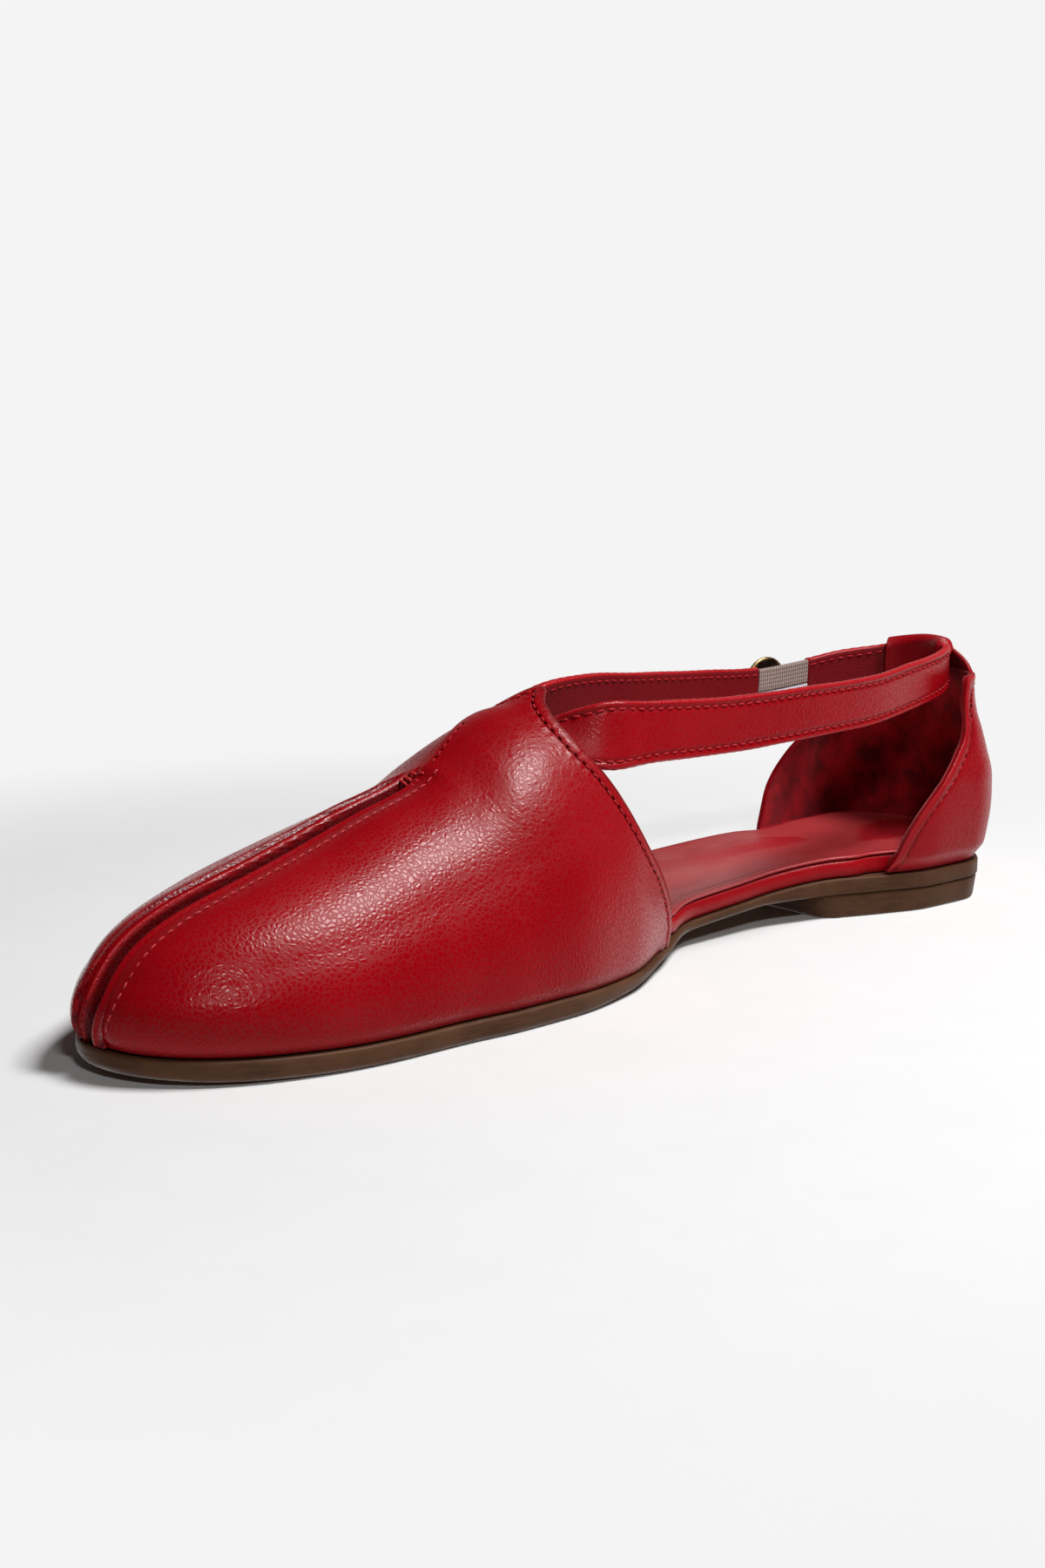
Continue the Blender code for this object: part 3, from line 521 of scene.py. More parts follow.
def thread_row(line, ups, pitch, length, radius, seed):
    """Short slack stitches along a line: points and faces of all of them."""
    stops, along, run = even_points(line, pitch)
    at = spots_on(stops, run, line)
    up = spots_on(stops, run, ups)
    up = unit(up - along * np.sum(up * along, axis=1)[:, None])
    side = np.cross(along, up)
    rng = np.random.default_rng(seed)
    steps = np.array((-0.5, -0.42, -0.22, 0.0, 0.22, 0.42, 0.5))
    lifts = np.array((-1.1, -0.1, 0.55, 0.7, 0.55, -0.1, -1.1))
    fats = np.array((0.35, 0.85, 1.0, 1.05, 1.0, 0.85, 0.35))
    ringed = 6
    angles = 2 * math.pi * np.arange(ringed) / ringed
    points = []
    faces = []
    patch = quads(len(steps), ringed, wrap=True)
    for k in range(len(at)):
        tilt = rng.normal(0.0, 0.09)
        size = length * (1 + rng.normal(0.0, 0.06))
        run_dir = along[k] + side[k] * tilt
        for step, lift, fat in zip(steps, lifts, fats):
            middle = at[k] + run_dir * step * size + up[k] * lift * radius
            for angle in angles:
                wide = side[k] * math.cos(angle) * 1.15 + up[k] * math.sin(angle) * 0.85
                points.append(middle + wide * radius * fat)
        faces.append(patch + k * len(steps) * ringed)
    return np.array(points), np.concatenate(faces)


def hole_row(line, ups, pitch, radius):
    """Small dark discs of painted shade where the needle went in, half way between the stitches."""
    stops, along, run = even_points(line, pitch)
    stops = np.clip(stops + pitch / 2, 0, run[-1])
    at = spots_on(stops, run, line)
    up = unit(spots_on(stops, run, ups))
    side = np.cross(along, up)
    rings = ((1.0, 0.10), (0.75, 0.16), (0.35, 0.12), (0.0, 0.08))
    count = 8
    angles = 2 * math.pi * np.arange(count) / count
    points = []
    faces = []
    patch = quads(len(rings), count, wrap=True)
    for k in range(len(at)):
        for wide, high in rings:
            for angle in angles:
                offset = along[k] * math.cos(angle) * 1.25 + side[k] * math.sin(angle)
                points.append(at[k] + offset * radius * wide + up[k] * high * radius)
        faces.append(patch + k * len(rings) * count)
    return np.array(points), np.concatenate(faces)


def join_sets(sets):
    points = []
    faces = []
    total = 0
    for some, quad in sets:
        points.append(some)
        faces.append(quad + total)
        total += len(some)
    return np.concatenate(points), np.concatenate(faces)


def add_rows(name, sets, material):
    """One piece made of many stitches or needle holes."""
    points, faces = join_sets(sets)
    add_object(name, build_mesh(name, points, faces), [material], weld=False)


# Materials

def new_group(name, inputs, outputs):
    group = bpy.data.node_groups.new(name, "ShaderNodeTree")
    for label, kind, value in inputs:
        socket = group.interface.new_socket(label, in_out="INPUT", socket_type=kind)
        if value is not None:
            socket.default_value = value
    for label, kind in outputs:
        group.interface.new_socket(label, in_out="OUTPUT", socket_type=kind)
    head = group.nodes.new("NodeGroupInput")
    tail = group.nodes.new("NodeGroupOutput")
    return group, head, tail


class Wires:
    """Short hand for making and joining shader nodes in one tree."""

    def __init__(self, tree):
        self.tree = tree

    def node(self, kind, **values):
        made = self.tree.nodes.new(kind)
        for key, value in values.items():
            setattr(made, key, value)
        return made

    def join(self, source, target):
        self.tree.links.new(source, target)

    def math(self, operation, a, b):
        made = self.node("ShaderNodeMath", operation=operation)
        for k, value in enumerate((a, b)):
            if isinstance(value, (int, float)):
                made.inputs[k].default_value = value
            else:
                self.join(value, made.inputs[k])
        return made.outputs[0]

    def ramp(self, value, low, high, to_low=0.0, to_high=1.0):
        made = self.node("ShaderNodeMapRange", interpolation_type="SMOOTHSTEP")
        self.join(value, made.inputs["Value"])
        made.inputs["From Min"].default_value = low
        made.inputs["From Max"].default_value = high
        made.inputs["To Min"].default_value = to_low
        made.inputs["To Max"].default_value = to_high
        return made.outputs["Result"]

    def mix(self, share, a, b):
        made = self.node("ShaderNodeMix", data_type="RGBA")
        for key, value in ((0, share), (6, a), (7, b)):
            if isinstance(value, (int, float)):
                made.inputs[key].default_value = value
            elif isinstance(value, tuple):
                made.inputs[key].default_value = (*value, 1.0)
            else:
                self.join(value, made.inputs[key])
        return made.outputs[2]

    def noise(self, vector, scale, detail=3.0, rough=0.5):
        made = self.node("ShaderNodeTexNoise")
        self.join(vector, made.inputs["Vector"])
        made.inputs["Scale"].default_value = scale
        made.inputs["Detail"].default_value = detail
        made.inputs["Roughness"].default_value = rough
        return made.outputs["Fac"]


def leather_grain_group():
    """Pebbled leather: fine cells with creases between them, coarser where it is worked."""
    group, head, tail = new_group(
        "leather_grain",
        (("Vector", "NodeSocketVector", None), ("Cells", "NodeSocketFloat", 900.0),
         ("Worked", "NodeSocketFloat", 0.0)),
        (("Height", "NodeSocketFloat"), ("Pits", "NodeSocketFloat"),
         ("Cloud", "NodeSocketFloat")),
    )
    w = Wires(group)
    vector = head.outputs["Vector"]
    warp = w.node("ShaderNodeTexNoise")
    w.join(vector, warp.inputs["Vector"])
    warp.inputs["Scale"].default_value = 420.0
    warp.inputs["Detail"].default_value = 2.0
    push = w.node("ShaderNodeVectorMath", operation="MULTIPLY_ADD")
    w.join(warp.outputs["Color"], push.inputs[0])
    push.inputs[1].default_value = (0.0011, 0.0011, 0.0011)
    w.join(vector, push.inputs[2])
    fine = w.node("ShaderNodeTexVoronoi", feature="DISTANCE_TO_EDGE")
    w.join(push.outputs[0], fine.inputs["Vector"])
    w.join(head.outputs["Cells"], fine.inputs["Scale"])
    coarse = w.node("ShaderNodeTexVoronoi", feature="DISTANCE_TO_EDGE")
    w.join(push.outputs[0], coarse.inputs["Vector"])
    w.join(w.math("MULTIPLY", head.outputs["Cells"], 0.52), coarse.inputs["Scale"])
    pebble = w.ramp(fine.outputs["Distance"], 0.0, 0.42)
    fold = w.ramp(coarse.outputs["Distance"], 0.0, 0.34)
    crease = w.ramp(fine.outputs["Distance"], 0.02, 0.16, 1.0, 0.0)
    patchy = w.ramp(w.noise(vector, 260.0, 3.0, 0.6), 0.36, 0.64)
    soft = w.noise(vector, 900.0, 2.0, 0.5)
    patches = w.math("ADD", w.math("MULTIPLY", patchy, 0.5), 0.5)
    worked = w.math("MULTIPLY", head.outputs["Worked"], patches)
    calm = w.math("SUBTRACT", 1.0, w.math("MULTIPLY", worked, 0.55))
    fine_part = w.math("MULTIPLY", w.math("MULTIPLY", pebble, calm), 0.75)
    fold_part = w.math("MULTIPLY", w.math("MULTIPLY", fold, worked), 0.85)
    height = w.math("ADD", w.math("ADD", fine_part, fold_part), w.math("MULTIPLY", soft, 0.14))
    w.join(height, tail.inputs["Height"])
    # Pits marks the creases between the cells and the folds of the worked patches; the leathers darken their
    # colour there as painted shade.
    deep = w.math("MAXIMUM", w.math("MULTIPLY", crease, 0.70),
                  w.math("MULTIPLY", w.math("SUBTRACT", 1.0, fold), w.math("MULTIPLY", worked, 0.7)))
    w.join(deep, tail.inputs["Pits"])
    w.join(w.noise(vector, 38.0, 4.0, 0.55), tail.inputs["Cloud"])
    return group


GRAIN = leather_grain_group()


def plain_material(name):
    material = bpy.data.materials.new(name)
    material.use_nodes = True
    shader = material.node_tree.nodes["Principled BSDF"]
    return material, Wires(material.node_tree), shader


def mark(w, name):
    node = w.node("ShaderNodeAttribute", attribute_name=name)
    return node.outputs["Fac"]


def bump(w, shader, height, strength, distance):
    node = w.node("ShaderNodeBump")
    node.inputs["Strength"].default_value = strength
    node.inputs["Distance"].default_value = distance
    w.join(height, node.inputs["Height"])
    w.join(node.outputs["Normal"], shader.inputs["Normal"])


def leather(name, mid, dark, light, cells=900.0, rough=0.25, depth=0.00006, specular=0.25):
    """Dyed leather: grain, pits and shaded places darkened as painted shade, edges and streaks lightened as
    painted highlight and sheen (partly wear), slow change of colour.
    """
    material, w, shader = plain_material(name)
    place = w.node("ShaderNodeTexCoord")
    grain = w.node("ShaderNodeGroup", node_tree=GRAIN)
    w.join(place.outputs["Object"], grain.inputs["Vector"])
    grain.inputs["Cells"].default_value = cells
    worked = w.math("MINIMUM", mark(w, "worked"), 1.0)
    w.join(worked, grain.inputs["Worked"])
    cloud = w.ramp(grain.outputs["Cloud"], 0.3, 0.7)
    tone = w.mix(cloud, tuple(c * 0.90 for c in mid), mid)
    # The darker colour in the pits and under the shade mark is painted shade; the lighter colour is painted
    # highlight and sheen, partly wear.
    tone = w.mix(w.math("MULTIPLY", grain.outputs["Pits"], 0.18), tone, dark)
    tone = w.mix(w.math("MULTIPLY", mark(w, "rubbed"), 0.8), tone, light)
    tone = w.mix(w.math("MULTIPLY", mark(w, "shade"), 0.9), tone, dark)
    w.join(tone, shader.inputs["Base Color"])
    slow = w.ramp(grain.outputs["Cloud"], 0.3, 0.7, rough - 0.04, rough + 0.05)
    gloss = w.math("ADD", slow, w.math("MULTIPLY", grain.outputs["Pits"], 0.30))
    w.join(gloss, shader.inputs["Roughness"])
    shader.inputs["Specular IOR Level"].default_value = specular
    bump(w, shader, grain.outputs["Height"], 0.85, depth)
    return material


def thread_material(name, color, specular=0.5):
    material, w, shader = plain_material(name)
    place = w.node("ShaderNodeTexCoord")
    twist = w.node("ShaderNodeTexWave", wave_type="BANDS", bands_direction="DIAGONAL")
    w.join(place.outputs["Object"], twist.inputs["Vector"])
    twist.inputs["Scale"].default_value = 900.0
    twist.inputs["Distortion"].default_value = 1.5
    # The thread is darker in the grooves of its twist: painted shade.
    tone = w.mix(twist.outputs["Fac"], tuple(c * 0.75 for c in color), color)
    w.join(tone, shader.inputs["Base Color"])
    w.join(w.ramp(twist.outputs["Fac"], 0.0, 1.0, 0.42, 0.6), shader.inputs["Roughness"])
    shader.inputs["Specular IOR Level"].default_value = specular
    bump(w, shader, twist.outputs["Fac"], 0.5, 0.00006)
    return material


def suede_material(name, color, deep):
    """Napped lining: cloudy brushed colour that is dull and soft."""
    material, w, shader = plain_material(name)
    place = w.node("ShaderNodeTexCoord")
    cloud = w.noise(place.outputs["Object"], 150.0, 5.0, 0.62)
    fuzz = w.noise(place.outputs["Object"], 2600.0, 3.0, 0.7)
    tone = w.mix(w.ramp(cloud, 0.32, 0.68), deep, color)
    tone = w.mix(w.math("MULTIPLY", w.ramp(fuzz, 0.3, 0.7), 0.25), tone, deep)
    w.join(tone, shader.inputs["Base Color"])
    w.join(w.ramp(cloud, 0.3, 0.7, 0.82, 0.95), shader.inputs["Roughness"])
    shader.inputs["Sheen Weight"].default_value = 0.35
    shader.inputs["Sheen Roughness"].default_value = 0.45
    shader.inputs["Sheen Tint"].default_value = (0.8, 0.25, 0.25, 1.0)
    shader.inputs["Specular IOR Level"].default_value = 0.2
    bump(w, shader, fuzz, 0.6, 0.00012)
    return material


def sole_material(name, color, dark):
    """Moulded brown rubber: matte, with fine flow lines and dust."""
    material, w, shader = plain_material(name)
    place = w.node("ShaderNodeTexCoord")
    flow = w.node("ShaderNodeMapping")
    flow.inputs["Scale"].default_value = (0.25, 0.25, 3.0)
    w.join(place.outputs["Object"], flow.inputs["Vector"])
    lines = w.noise(flow.outputs["Vector"], 700.0, 3.0, 0.6)
    specks = w.noise(place.outputs["Object"], 1900.0, 2.0, 0.5)
    cloud = w.noise(place.outputs["Object"], 70.0, 4.0, 0.6)
    tone = w.mix(w.ramp(cloud, 0.35, 0.65), dark, color)
    bright = tuple(c * 1.25 for c in color)
    tone = w.mix(w.math("MULTIPLY", w.ramp(lines, 0.42, 0.62), 0.35), tone, bright)
    tone = w.mix(w.math("MULTIPLY", w.ramp(specks, 0.66, 0.78), 0.30), tone, (0.20, 0.12, 0.08))
    w.join(tone, shader.inputs["Base Color"])
    w.join(w.ramp(lines, 0.3, 0.7, 0.46, 0.62), shader.inputs["Roughness"])
    shader.inputs["Specular IOR Level"].default_value = 0.2
    height = w.math("ADD", w.math("MULTIPLY", lines, 0.7), w.math("MULTIPLY", specks, 0.5))
    bump(w, shader, height, 0.5, 0.00012)
    return material


# Each leather has its own colour, a darker colour painted as shade in its pits and shaded places, and a
# lighter colour painted as highlight and sheen, partly wear
RED = leather("grained_red_leather",
              (0.345, 0.0008, 0.0050), (0.085, 0.0004, 0.0016), (0.62, 0.020, 0.028))
STRAP_RED = leather("strap_red_leather",
                    (0.365, 0.0008, 0.0052), (0.10, 0.0004, 0.0018), (0.60, 0.018, 0.026),
                    cells=1000.0)
COUNTER_RED = leather("counter_red_leather",
                      (0.36, 0.0010, 0.0060), (0.10, 0.0005, 0.0020), (0.58, 0.018, 0.026),
                      cells=1500.0, rough=0.31)
FOLD_RED = leather("folded_edge_leather",
                   (0.33, 0.0012, 0.0060), (0.10, 0.0005, 0.0020), (0.55, 0.020, 0.028),
                   cells=1700.0, rough=0.36, depth=0.00005)
# The footbed's lighter colour is pink because it paints the sheen on its top.
SOCK_RED = leather("footbed_leather",
                   (0.40, 0.0060, 0.0120), (0.15, 0.0010, 0.0030), (0.55, 0.12, 0.12),
                   cells=2000.0, rough=0.30, depth=0.00003, specular=0.5)
RAND_RED = leather("rand_leather", (0.40, 0.0010, 0.0060), (0.10, 0.0005, 0.0020), (0.58, 0.02, 0.03),
                   cells=1400.0, rough=0.30, depth=0.00004)
LINING = suede_material("suede_lining", (0.40, 0.0030, 0.0110), (0.120, 0.0010, 0.0036))
STRAP_LINING = leather("strap_lining_leather",
                       (0.22, 0.0025, 0.0070), (0.07, 0.0008, 0.0022), (0.42, 0.02, 0.03),
                       cells=1400.0, rough=0.46, depth=0.00008)
THREAD = thread_material("red_thread", (0.50, 0.010, 0.017), specular=0.25)
THREAD_PALE = thread_material("pale_red_thread", (0.60, 0.038, 0.045))
# Dark discs painted as the shade inside the needle holes.
HOLE_SHADE = thread_material("needle_hole_shade", (0.040, 0.0006, 0.0016), specular=0.0)
RUBBER = sole_material("brown_rubber", (0.108, 0.045, 0.020), (0.078, 0.032, 0.014))


# The vamp

REAR_ROWS = 150
TOE_ROWS = 96
SIDE_COLUMNS = 104
STRIP_COLUMNS = 34

# Stitch rows: in from the topline, and out from the middle of the open seam
TOPLINE_INSET = 0.0023
CHANNEL_STITCH_OFF = 0.0051

# Open seam: depth of its floor, sink of the inner side beside it, and the rises and
# the crack along its folds and the outer panel's cut edge
CHANNEL_DEPTH = 0.0018
CHANNEL_SINK = 0.0011
FOLD_ROLL = 0.00035
LIP_HEIGHT = 0.00045
CRACK_DEPTH = 0.00060
STRIP_DEPTH = 0.00010
PANEL_EDGE = 0.00085


def toe_turns(side, count):
    start = float(x_to_turn(RIDGE_TURN * LENGTH))
    end = last_turn(side)
    fine = np.linspace(0.0, 1.0, 400)
    turns = start + (end - start) * (1 - (1 - fine) ** 2)
    low = vamp_point(turns, side, np.ones_like(turns))
    high = vamp_point(turns, side, out_at_strip(turns, side))
    both = np.concatenate((low, high), axis=1)
    run = run_along(both)
    return np.interp(run[-1] * np.arange(count + 1) / count, run, turns)


def strip_angle(turn, side):
    ridge = FULL[(side, 0)](turn_to_x(turn) / LENGTH)
    return np.arccos(np.clip(out_at_strip(turn, side) ** (ridge / 2), 0, 1))


def vamp_side(side, shares, turns):
    """Grid of one side of the vamp: rows toward the toe, columns feather line to strip."""
    climb = 1 - (1 - np.linspace(0.0, 1.0, SIDE_COLUMNS)) ** 1.4
    edge = float(FULL[(side, 1)](0.0))
    throat = float(strip_angle(x_to_turn(LENGTH * TOP_LINE(1.0)), side))
    up = np.sin(throat * climb) ** (2 / edge)
    start = LENGTH * TOP_LINE(up)
    station = start[None, :] + (RIDGE_TURN * LENGTH - start[None, :]) * shares[:, None]
    turn = np.concatenate((x_to_turn(station), np.repeat(turns[:, None], len(climb), axis=1)))
    ridge = FULL[(side, 0)](turn_to_x(turn) / LENGTH)
    out = np.cos(strip_angle(turn, side) * climb[None, :]) ** (2 / ridge)
    return vamp_point(turn, side, out)


def vamp_grid():
    fine = np.linspace(0.0, 1.0, REAR_ROWS + 1)[:-1]
    shares = 0.45 * fine + 0.55 * fine ** 2
    inner = vamp_side(1, shares, toe_turns(1, TOE_ROWS))
    outer = vamp_side(-1, shares, toe_turns(-1, TOE_ROWS))
    t = np.linspace(0.0, 1.0, STRIP_COLUMNS + 2)[1:-1]
    ends = inner[:, -1], outer[:, -1]
    strip = ends[0][:, None] * (1 - t)[None, :, None] + ends[1][:, None] * t[None, :, None]
    spine = (ends[0] + ends[1]) / 2
    along = np.gradient(spine, axis=0)
    normal = unit(np.stack((-along[:, 2], np.zeros(len(along)), along[:, 0]), axis=1))
    middle = (1 - (2 * t - 1) ** 2)[None, :, None]
    fade = np.concatenate((1 - shares, np.zeros(len(spine) - len(shares)))) ** THROAT_FADE
    back = (LENGTH * TOP_LINE(1.0) - spine[0, 0]) * fade
    rise = crown(spine[0, 0] + back) - crown(spine[0, 0])
    point = np.stack((back, np.zeros(len(back)), rise), axis=1)
    strip = strip + (normal * STRIP_SAG + point)[:, None] * middle
    points = np.concatenate((inner, strip, outer[:, ::-1]), axis=1)
    return relax(points, 14)


def channel_centre(x, z):
    """Where the open seam runs: it drifts to the inner side toward the toe."""
    return 0.0019 * ease((x / LENGTH - 0.74) / 0.17) * ease((z - 0.006) / 0.010) - 0.0004


def channel_lift(across, x, z):
    """Height over the surface across the open seam, from the inner fold to the outer panel."""
    fade = ease((x - CHANNEL_END * LENGTH) / 0.007)
    low = 0.35 + 0.65 * ease((z - 0.006) / 0.010)
    floor = ease((0.00055 - across) / 0.00055) * ease((across + 0.0021) / 0.00050)
    sink = -CHANNEL_SINK * bell(np.maximum(across - 0.0008, 0), 0.0050) * ease((across + 0.0019) / 0.0005)
    near = sink * low + FOLD_ROLL * bell(across - 0.0012, 0.0007)
    strip = ease((-0.0016 - across) / 0.0004) * ease((across + 0.0047) / 0.0004)
    lip = LIP_HEIGHT * bell(across + 0.0022, 0.00030)
    crack = -CRACK_DEPTH * bell(across + 0.0027, 0.00022)
    edge = PANEL_EDGE * ease((-0.0043 - across) / 0.0003)
    edge = edge * bell(np.minimum(across + 0.0046, 0), 0.0040)
    return (near - CHANNEL_DEPTH * floor * low - STRIP_DEPTH * strip + lip + crack + edge) * fade


def crease_lift(flat):
    """Height of the creases at each point: a trough with a soft ridge beside it."""
    lift = np.zeros(len(flat))
    for side, start, end, bow, half, depth in CREASES:
        t = np.linspace(0.0, 1.0, 14)
        shares = start[0] + (end[0] - start[0]) * t
        ups = start[1] + (end[1] - start[1]) * t
        line = surface_at(shares, ups, side)
        sideways = unit(np.cross(line[-1] - line[0], (0.0, side * 0.7, 0.7)))
        line = line + sideways * (bow * np.sin(math.pi * t))[:, None]
        gap, run = distance_to(flat, line)
        size = float(np.linalg.norm(np.diff(line, axis=0), axis=1).sum())
        fade = np.sin(math.pi * np.clip(run / size, 0.0, 1.0)) ** 0.7
        trough = bell(gap, half) - 0.55 * bell(gap - 2.2 * half, half)
        lift -= depth * trough * fade
    return lift


def side_seam(x, y):
    """Distance in front of the side seam, where the seam runs, and its step there."""
    seam = np.array([(s * LENGTH, v) for s, v in SIDE_SEAM])
    beside = y - np.interp(x, seam[::-1, 0], seam[::-1, 1])
    runs = ease((x - 0.580 * LENGTH) / 0.006) * (1 - ease((x - 0.681 * LENGTH) / 0.003))
    step = 0.00085 / (1 + np.exp(-beside / 0.00022)) * bell(np.maximum(beside, 0), 0.008)
    step = step - 0.00045 * bell(beside + 0.0003, 0.00035)
    return beside, runs, step * runs


def topline_turn(points, normals):
    """Rows that round the topline's edge off and go a short way down inside the vamp."""
    inward = points[5] - points[0]
    soften(inward, 12)
    inward = unit(inward)
    under = points[0] - normals[0] * EDGE_THICK
    sink = WALL - EDGE_THICK
    turn = [under + inward * reach - normals[0] * sink * share
            for reach, share in ((0.0030, 0.75), (0.0020, 0.6), (0.0010, 0.3))]
    radius = EDGE_THICK / 2
    centre = points[0] - normals[0] * radius
    steps = 7
    for k in range(steps):
        angle = math.pi * (1 - k / steps)
        turn.append(centre + normals[0] * radius * math.cos(angle)
                    - inward * radius * math.sin(angle))
    return np.array(turn)


def build_vamp():
    """The vamp's leather and lining; its stitches need the grid, normals and topline gap."""
    points = vamp_grid()
    rows, cols = points.shape[:2]
    normals = -grid_normals(points)
    if normals[rows // 3, cols // 2, 2] < 0:
        normals = -normals
    flat = points.reshape(-1, 3)
    x = points[..., 0]
    y = points[..., 1]
    top_gap, top_run = distance_to(flat, points[0, ::2])
    top_gap = top_gap.reshape(rows, cols)
    top_run = top_run.reshape(rows, cols)
    foot = np.minimum(np.linalg.norm(points - points[:, :1], axis=2),
                      np.linalg.norm(points - points[:, -1:], axis=2))

    across = y - channel_centre(x, points[..., 2])
    open_seam = ease((x - CHANNEL_END * LENGTH) / 0.006)
    lift = channel_lift(across, x, points[..., 2])
    roll = 0.00016 * bell(top_gap - 0.0009, 0.0008)
    groove = -0.00026 * bell(top_gap - TOPLINE_INSET, 0.00035)
    pucker = 0.00009 * np.sin(top_run * 2 * math.pi / 0.0024) * bell(top_gap - 0.0028, 0.0014)
    lift = lift + roll + groove + pucker

    lift = lift + crease_lift(flat).reshape(rows, cols)
    beside, along_seam, step = side_seam(x, y)
    lift = lift + step

    hollow = -0.0006 * bell(foot, 0.0016)
    lift = lift + hollow * ease((top_gap - 0.002) / 0.004)

    points = points + normals * lift[..., None]

    skin = np.concatenate((topline_turn(points, normals), points), axis=0)
    extra = len(skin) - rows

    low_down = ease((0.60 - points[..., 2] / CROWN_HEIGHT) / 0.35)
    worked = bell(np.maximum(top_gap - 0.010, 0.0), 0.016) * (1 - low_down)
    sweep = bell(np.linalg.norm(points - np.array((0.160, 0.015, 0.050)), axis=2), 0.030)
    worked = np.clip(np.maximum(worked * 0.8, sweep), 0.0, 1.0)
    calm = ease((across - 0.0003) / 0.0004) * ease((0.0048 - across) / 0.0006) * open_seam
    worked = worked * (1 - calm)
    # Lighter along the rolled topline edge and the two folds of the open seam: painted highlight, partly
    # wear.
    rubbed = 0.10 * bell(top_gap - 0.0012, 0.0004)
    rubbed = rubbed + 0.5 * (bell(across - 0.0007, 0.00022) + bell(across + 0.0021, 0.00022)) * open_seam
    shade = ease((0.0007 - across) / 0.0004) * ease((across + 0.0021) / 0.0003) * open_seam * 1.1
    ragged = 0.00018 * np.sin(x * 5200) + 0.00012 * np.sin(x * 11300)
    shade = np.maximum(shade, 0.9 * bell(across + 0.0044 + ragged, 0.00026) * open_seam)
    shade = np.maximum(shade, 0.6 * bell(across + 0.0027, 0.00020) * open_seam)
    shade = np.maximum(shade, 0.7 * bell(top_gap - TOPLINE_INSET, 0.00030))
    shade = np.maximum(shade, 0.55 * bell(top_gap, 0.0007))
    shade = np.maximum(shade, bell(beside + 0.0003, 0.00040) * along_seam)
    shade = np.maximum(shade, 0.8 * bell(foot, 0.0006))

    def pad(values, edge=0.0):
        return np.concatenate((np.full((extra, cols), edge), values), axis=0)

    marks = {"worked": pad(worked), "rubbed": pad(rubbed), "shade": pad(shade, 0.6)}
    mesh = build_mesh("vamp_leather", skin, quads(skin.shape[0], cols), marks)
    add_object("vamp_leather", mesh, [RED], cad=["vamp"])

    inner = (points - normals * (WALL - 0.0001))[2::4, ::4]
    lining = build_mesh("vamp_lining", inner, quads(*inner.shape[:2]))
    add_object("vamp_lining", lining, [STRAP_LINING])
    return points, normals, top_gap


def topline_row(points, normals, top_gap):
    """Line of the stitches round the topline, a little above the leather."""
    cols = points.shape[1]
    line, ups = [], []
    for c in range(0, cols, 2):
        row = float(np.interp(TOPLINE_INSET, top_gap[:60, c], np.arange(60)))
        r, part = int(row), row - int(row)
        up = normals[r, c]
        line.append(points[r, c] * (1 - part) + points[r + 1, c] * part + up * 0.00018)
        ups.append(up)
    line, ups = np.array(line), np.array(ups)
    keep = line[:, 2] > 0.010
    line, ups = line[keep], ups[keep]
    soften(line, 3)
    return line, ups


def channel_row(points, normals):
    """Line of the stitches on the outer panel, beside the open seam."""
    rows, cols = points.shape[:2]
    spine = []
    spine_up = []
    for r in range(rows):
        if points[r, cols // 2, 0] < (CHANNEL_END + 0.004) * LENGTH:
            continue
        centre = channel_centre(points[r, :, 0], points[r, :, 2])
        column = float(np.interp(-CHANNEL_STITCH_OFF, centre - points[r, :, 1], np.arange(cols)))
        c, part = int(column), column - int(column)
        spine.append(points[r, c] * (1 - part) + points[r, c + 1] * part + normals[r, c] * 0.00010)
        spine_up.append(normals[r, c])
    spine = np.array(spine)
    soften(spine, 3)
    keep = spine[:, 2] > 0.008
    return spine[keep], np.array(spine_up)[keep]


def vamp_stitching(points, normals, top_gap):
    """Rows of stitches: topline, open seam, side seam and the tacks at the seam's end."""
    line, ups = topline_row(points, normals, top_gap)
    red = [thread_row(line, ups, *TOPLINE_STITCH, 3)]
    holes = [hole_row(line, ups, TOPLINE_STITCH[0], TOPLINE_HOLE)]
    pale = [thread_row(*channel_row(points, normals), *CHANNEL_STITCH, 5)]
    flat = points[..., :2].reshape(-1, 2)

    def nearest(spots):
        near = [int(np.argmin(np.sum((flat - spot) ** 2, axis=1))) for spot in spots]
        return points.reshape(-1, 3)[near], normals.reshape(-1, 3)[near]

    t = np.linspace(0.0, 0.50, 24)
    seam = np.array([(s * LENGTH, v) for s, v in SIDE_SEAM])
    sx = np.interp(t, np.linspace(0, 1, len(seam)), seam[:, 0])
    sy = np.interp(t, np.linspace(0, 1, len(seam)), seam[:, 1]) + 0.0022
    side_line, side_up = nearest(np.stack((sx, sy), axis=1))
    soften(side_line, 6, own=0)
    red.append(thread_row(side_line, side_up, *SEAM_STITCH, 8))
    holes.append(hole_row(side_line, side_up, SEAM_STITCH[0], NEEDLE_HOLE))
    for ahead in (0.0026, 0.0038, 0.0050):
        station = np.full(9, CHANNEL_END * LENGTH + ahead)
        tack, tack_up = nearest(np.stack((station, np.linspace(0.0020, -0.0026, 9)), axis=1))
        soften(tack, 8, own=0)
        red.append(thread_row(tack + tack_up * 0.00015, tack_up, *TACK_STITCH, 9))
    some, faces = join_sets(pale + red)
    slots = np.repeat((0, 1), (len(pale[0][1]), len(faces) - len(pale[0][1])))
    mesh = build_mesh("vamp_stitches", some, faces, None, slots)
    add_object("vamp_stitches", mesh, [THREAD_PALE, THREAD], weld=False)
    add_rows("vamp_needle_holes", holes, HOLE_SHADE)


# Straps: how far in from its edge the fold of each leather lies

STRAP_FOLD = 0.0017
TONGUE_FOLD = 0.0012
NO_FOLD = 99.0


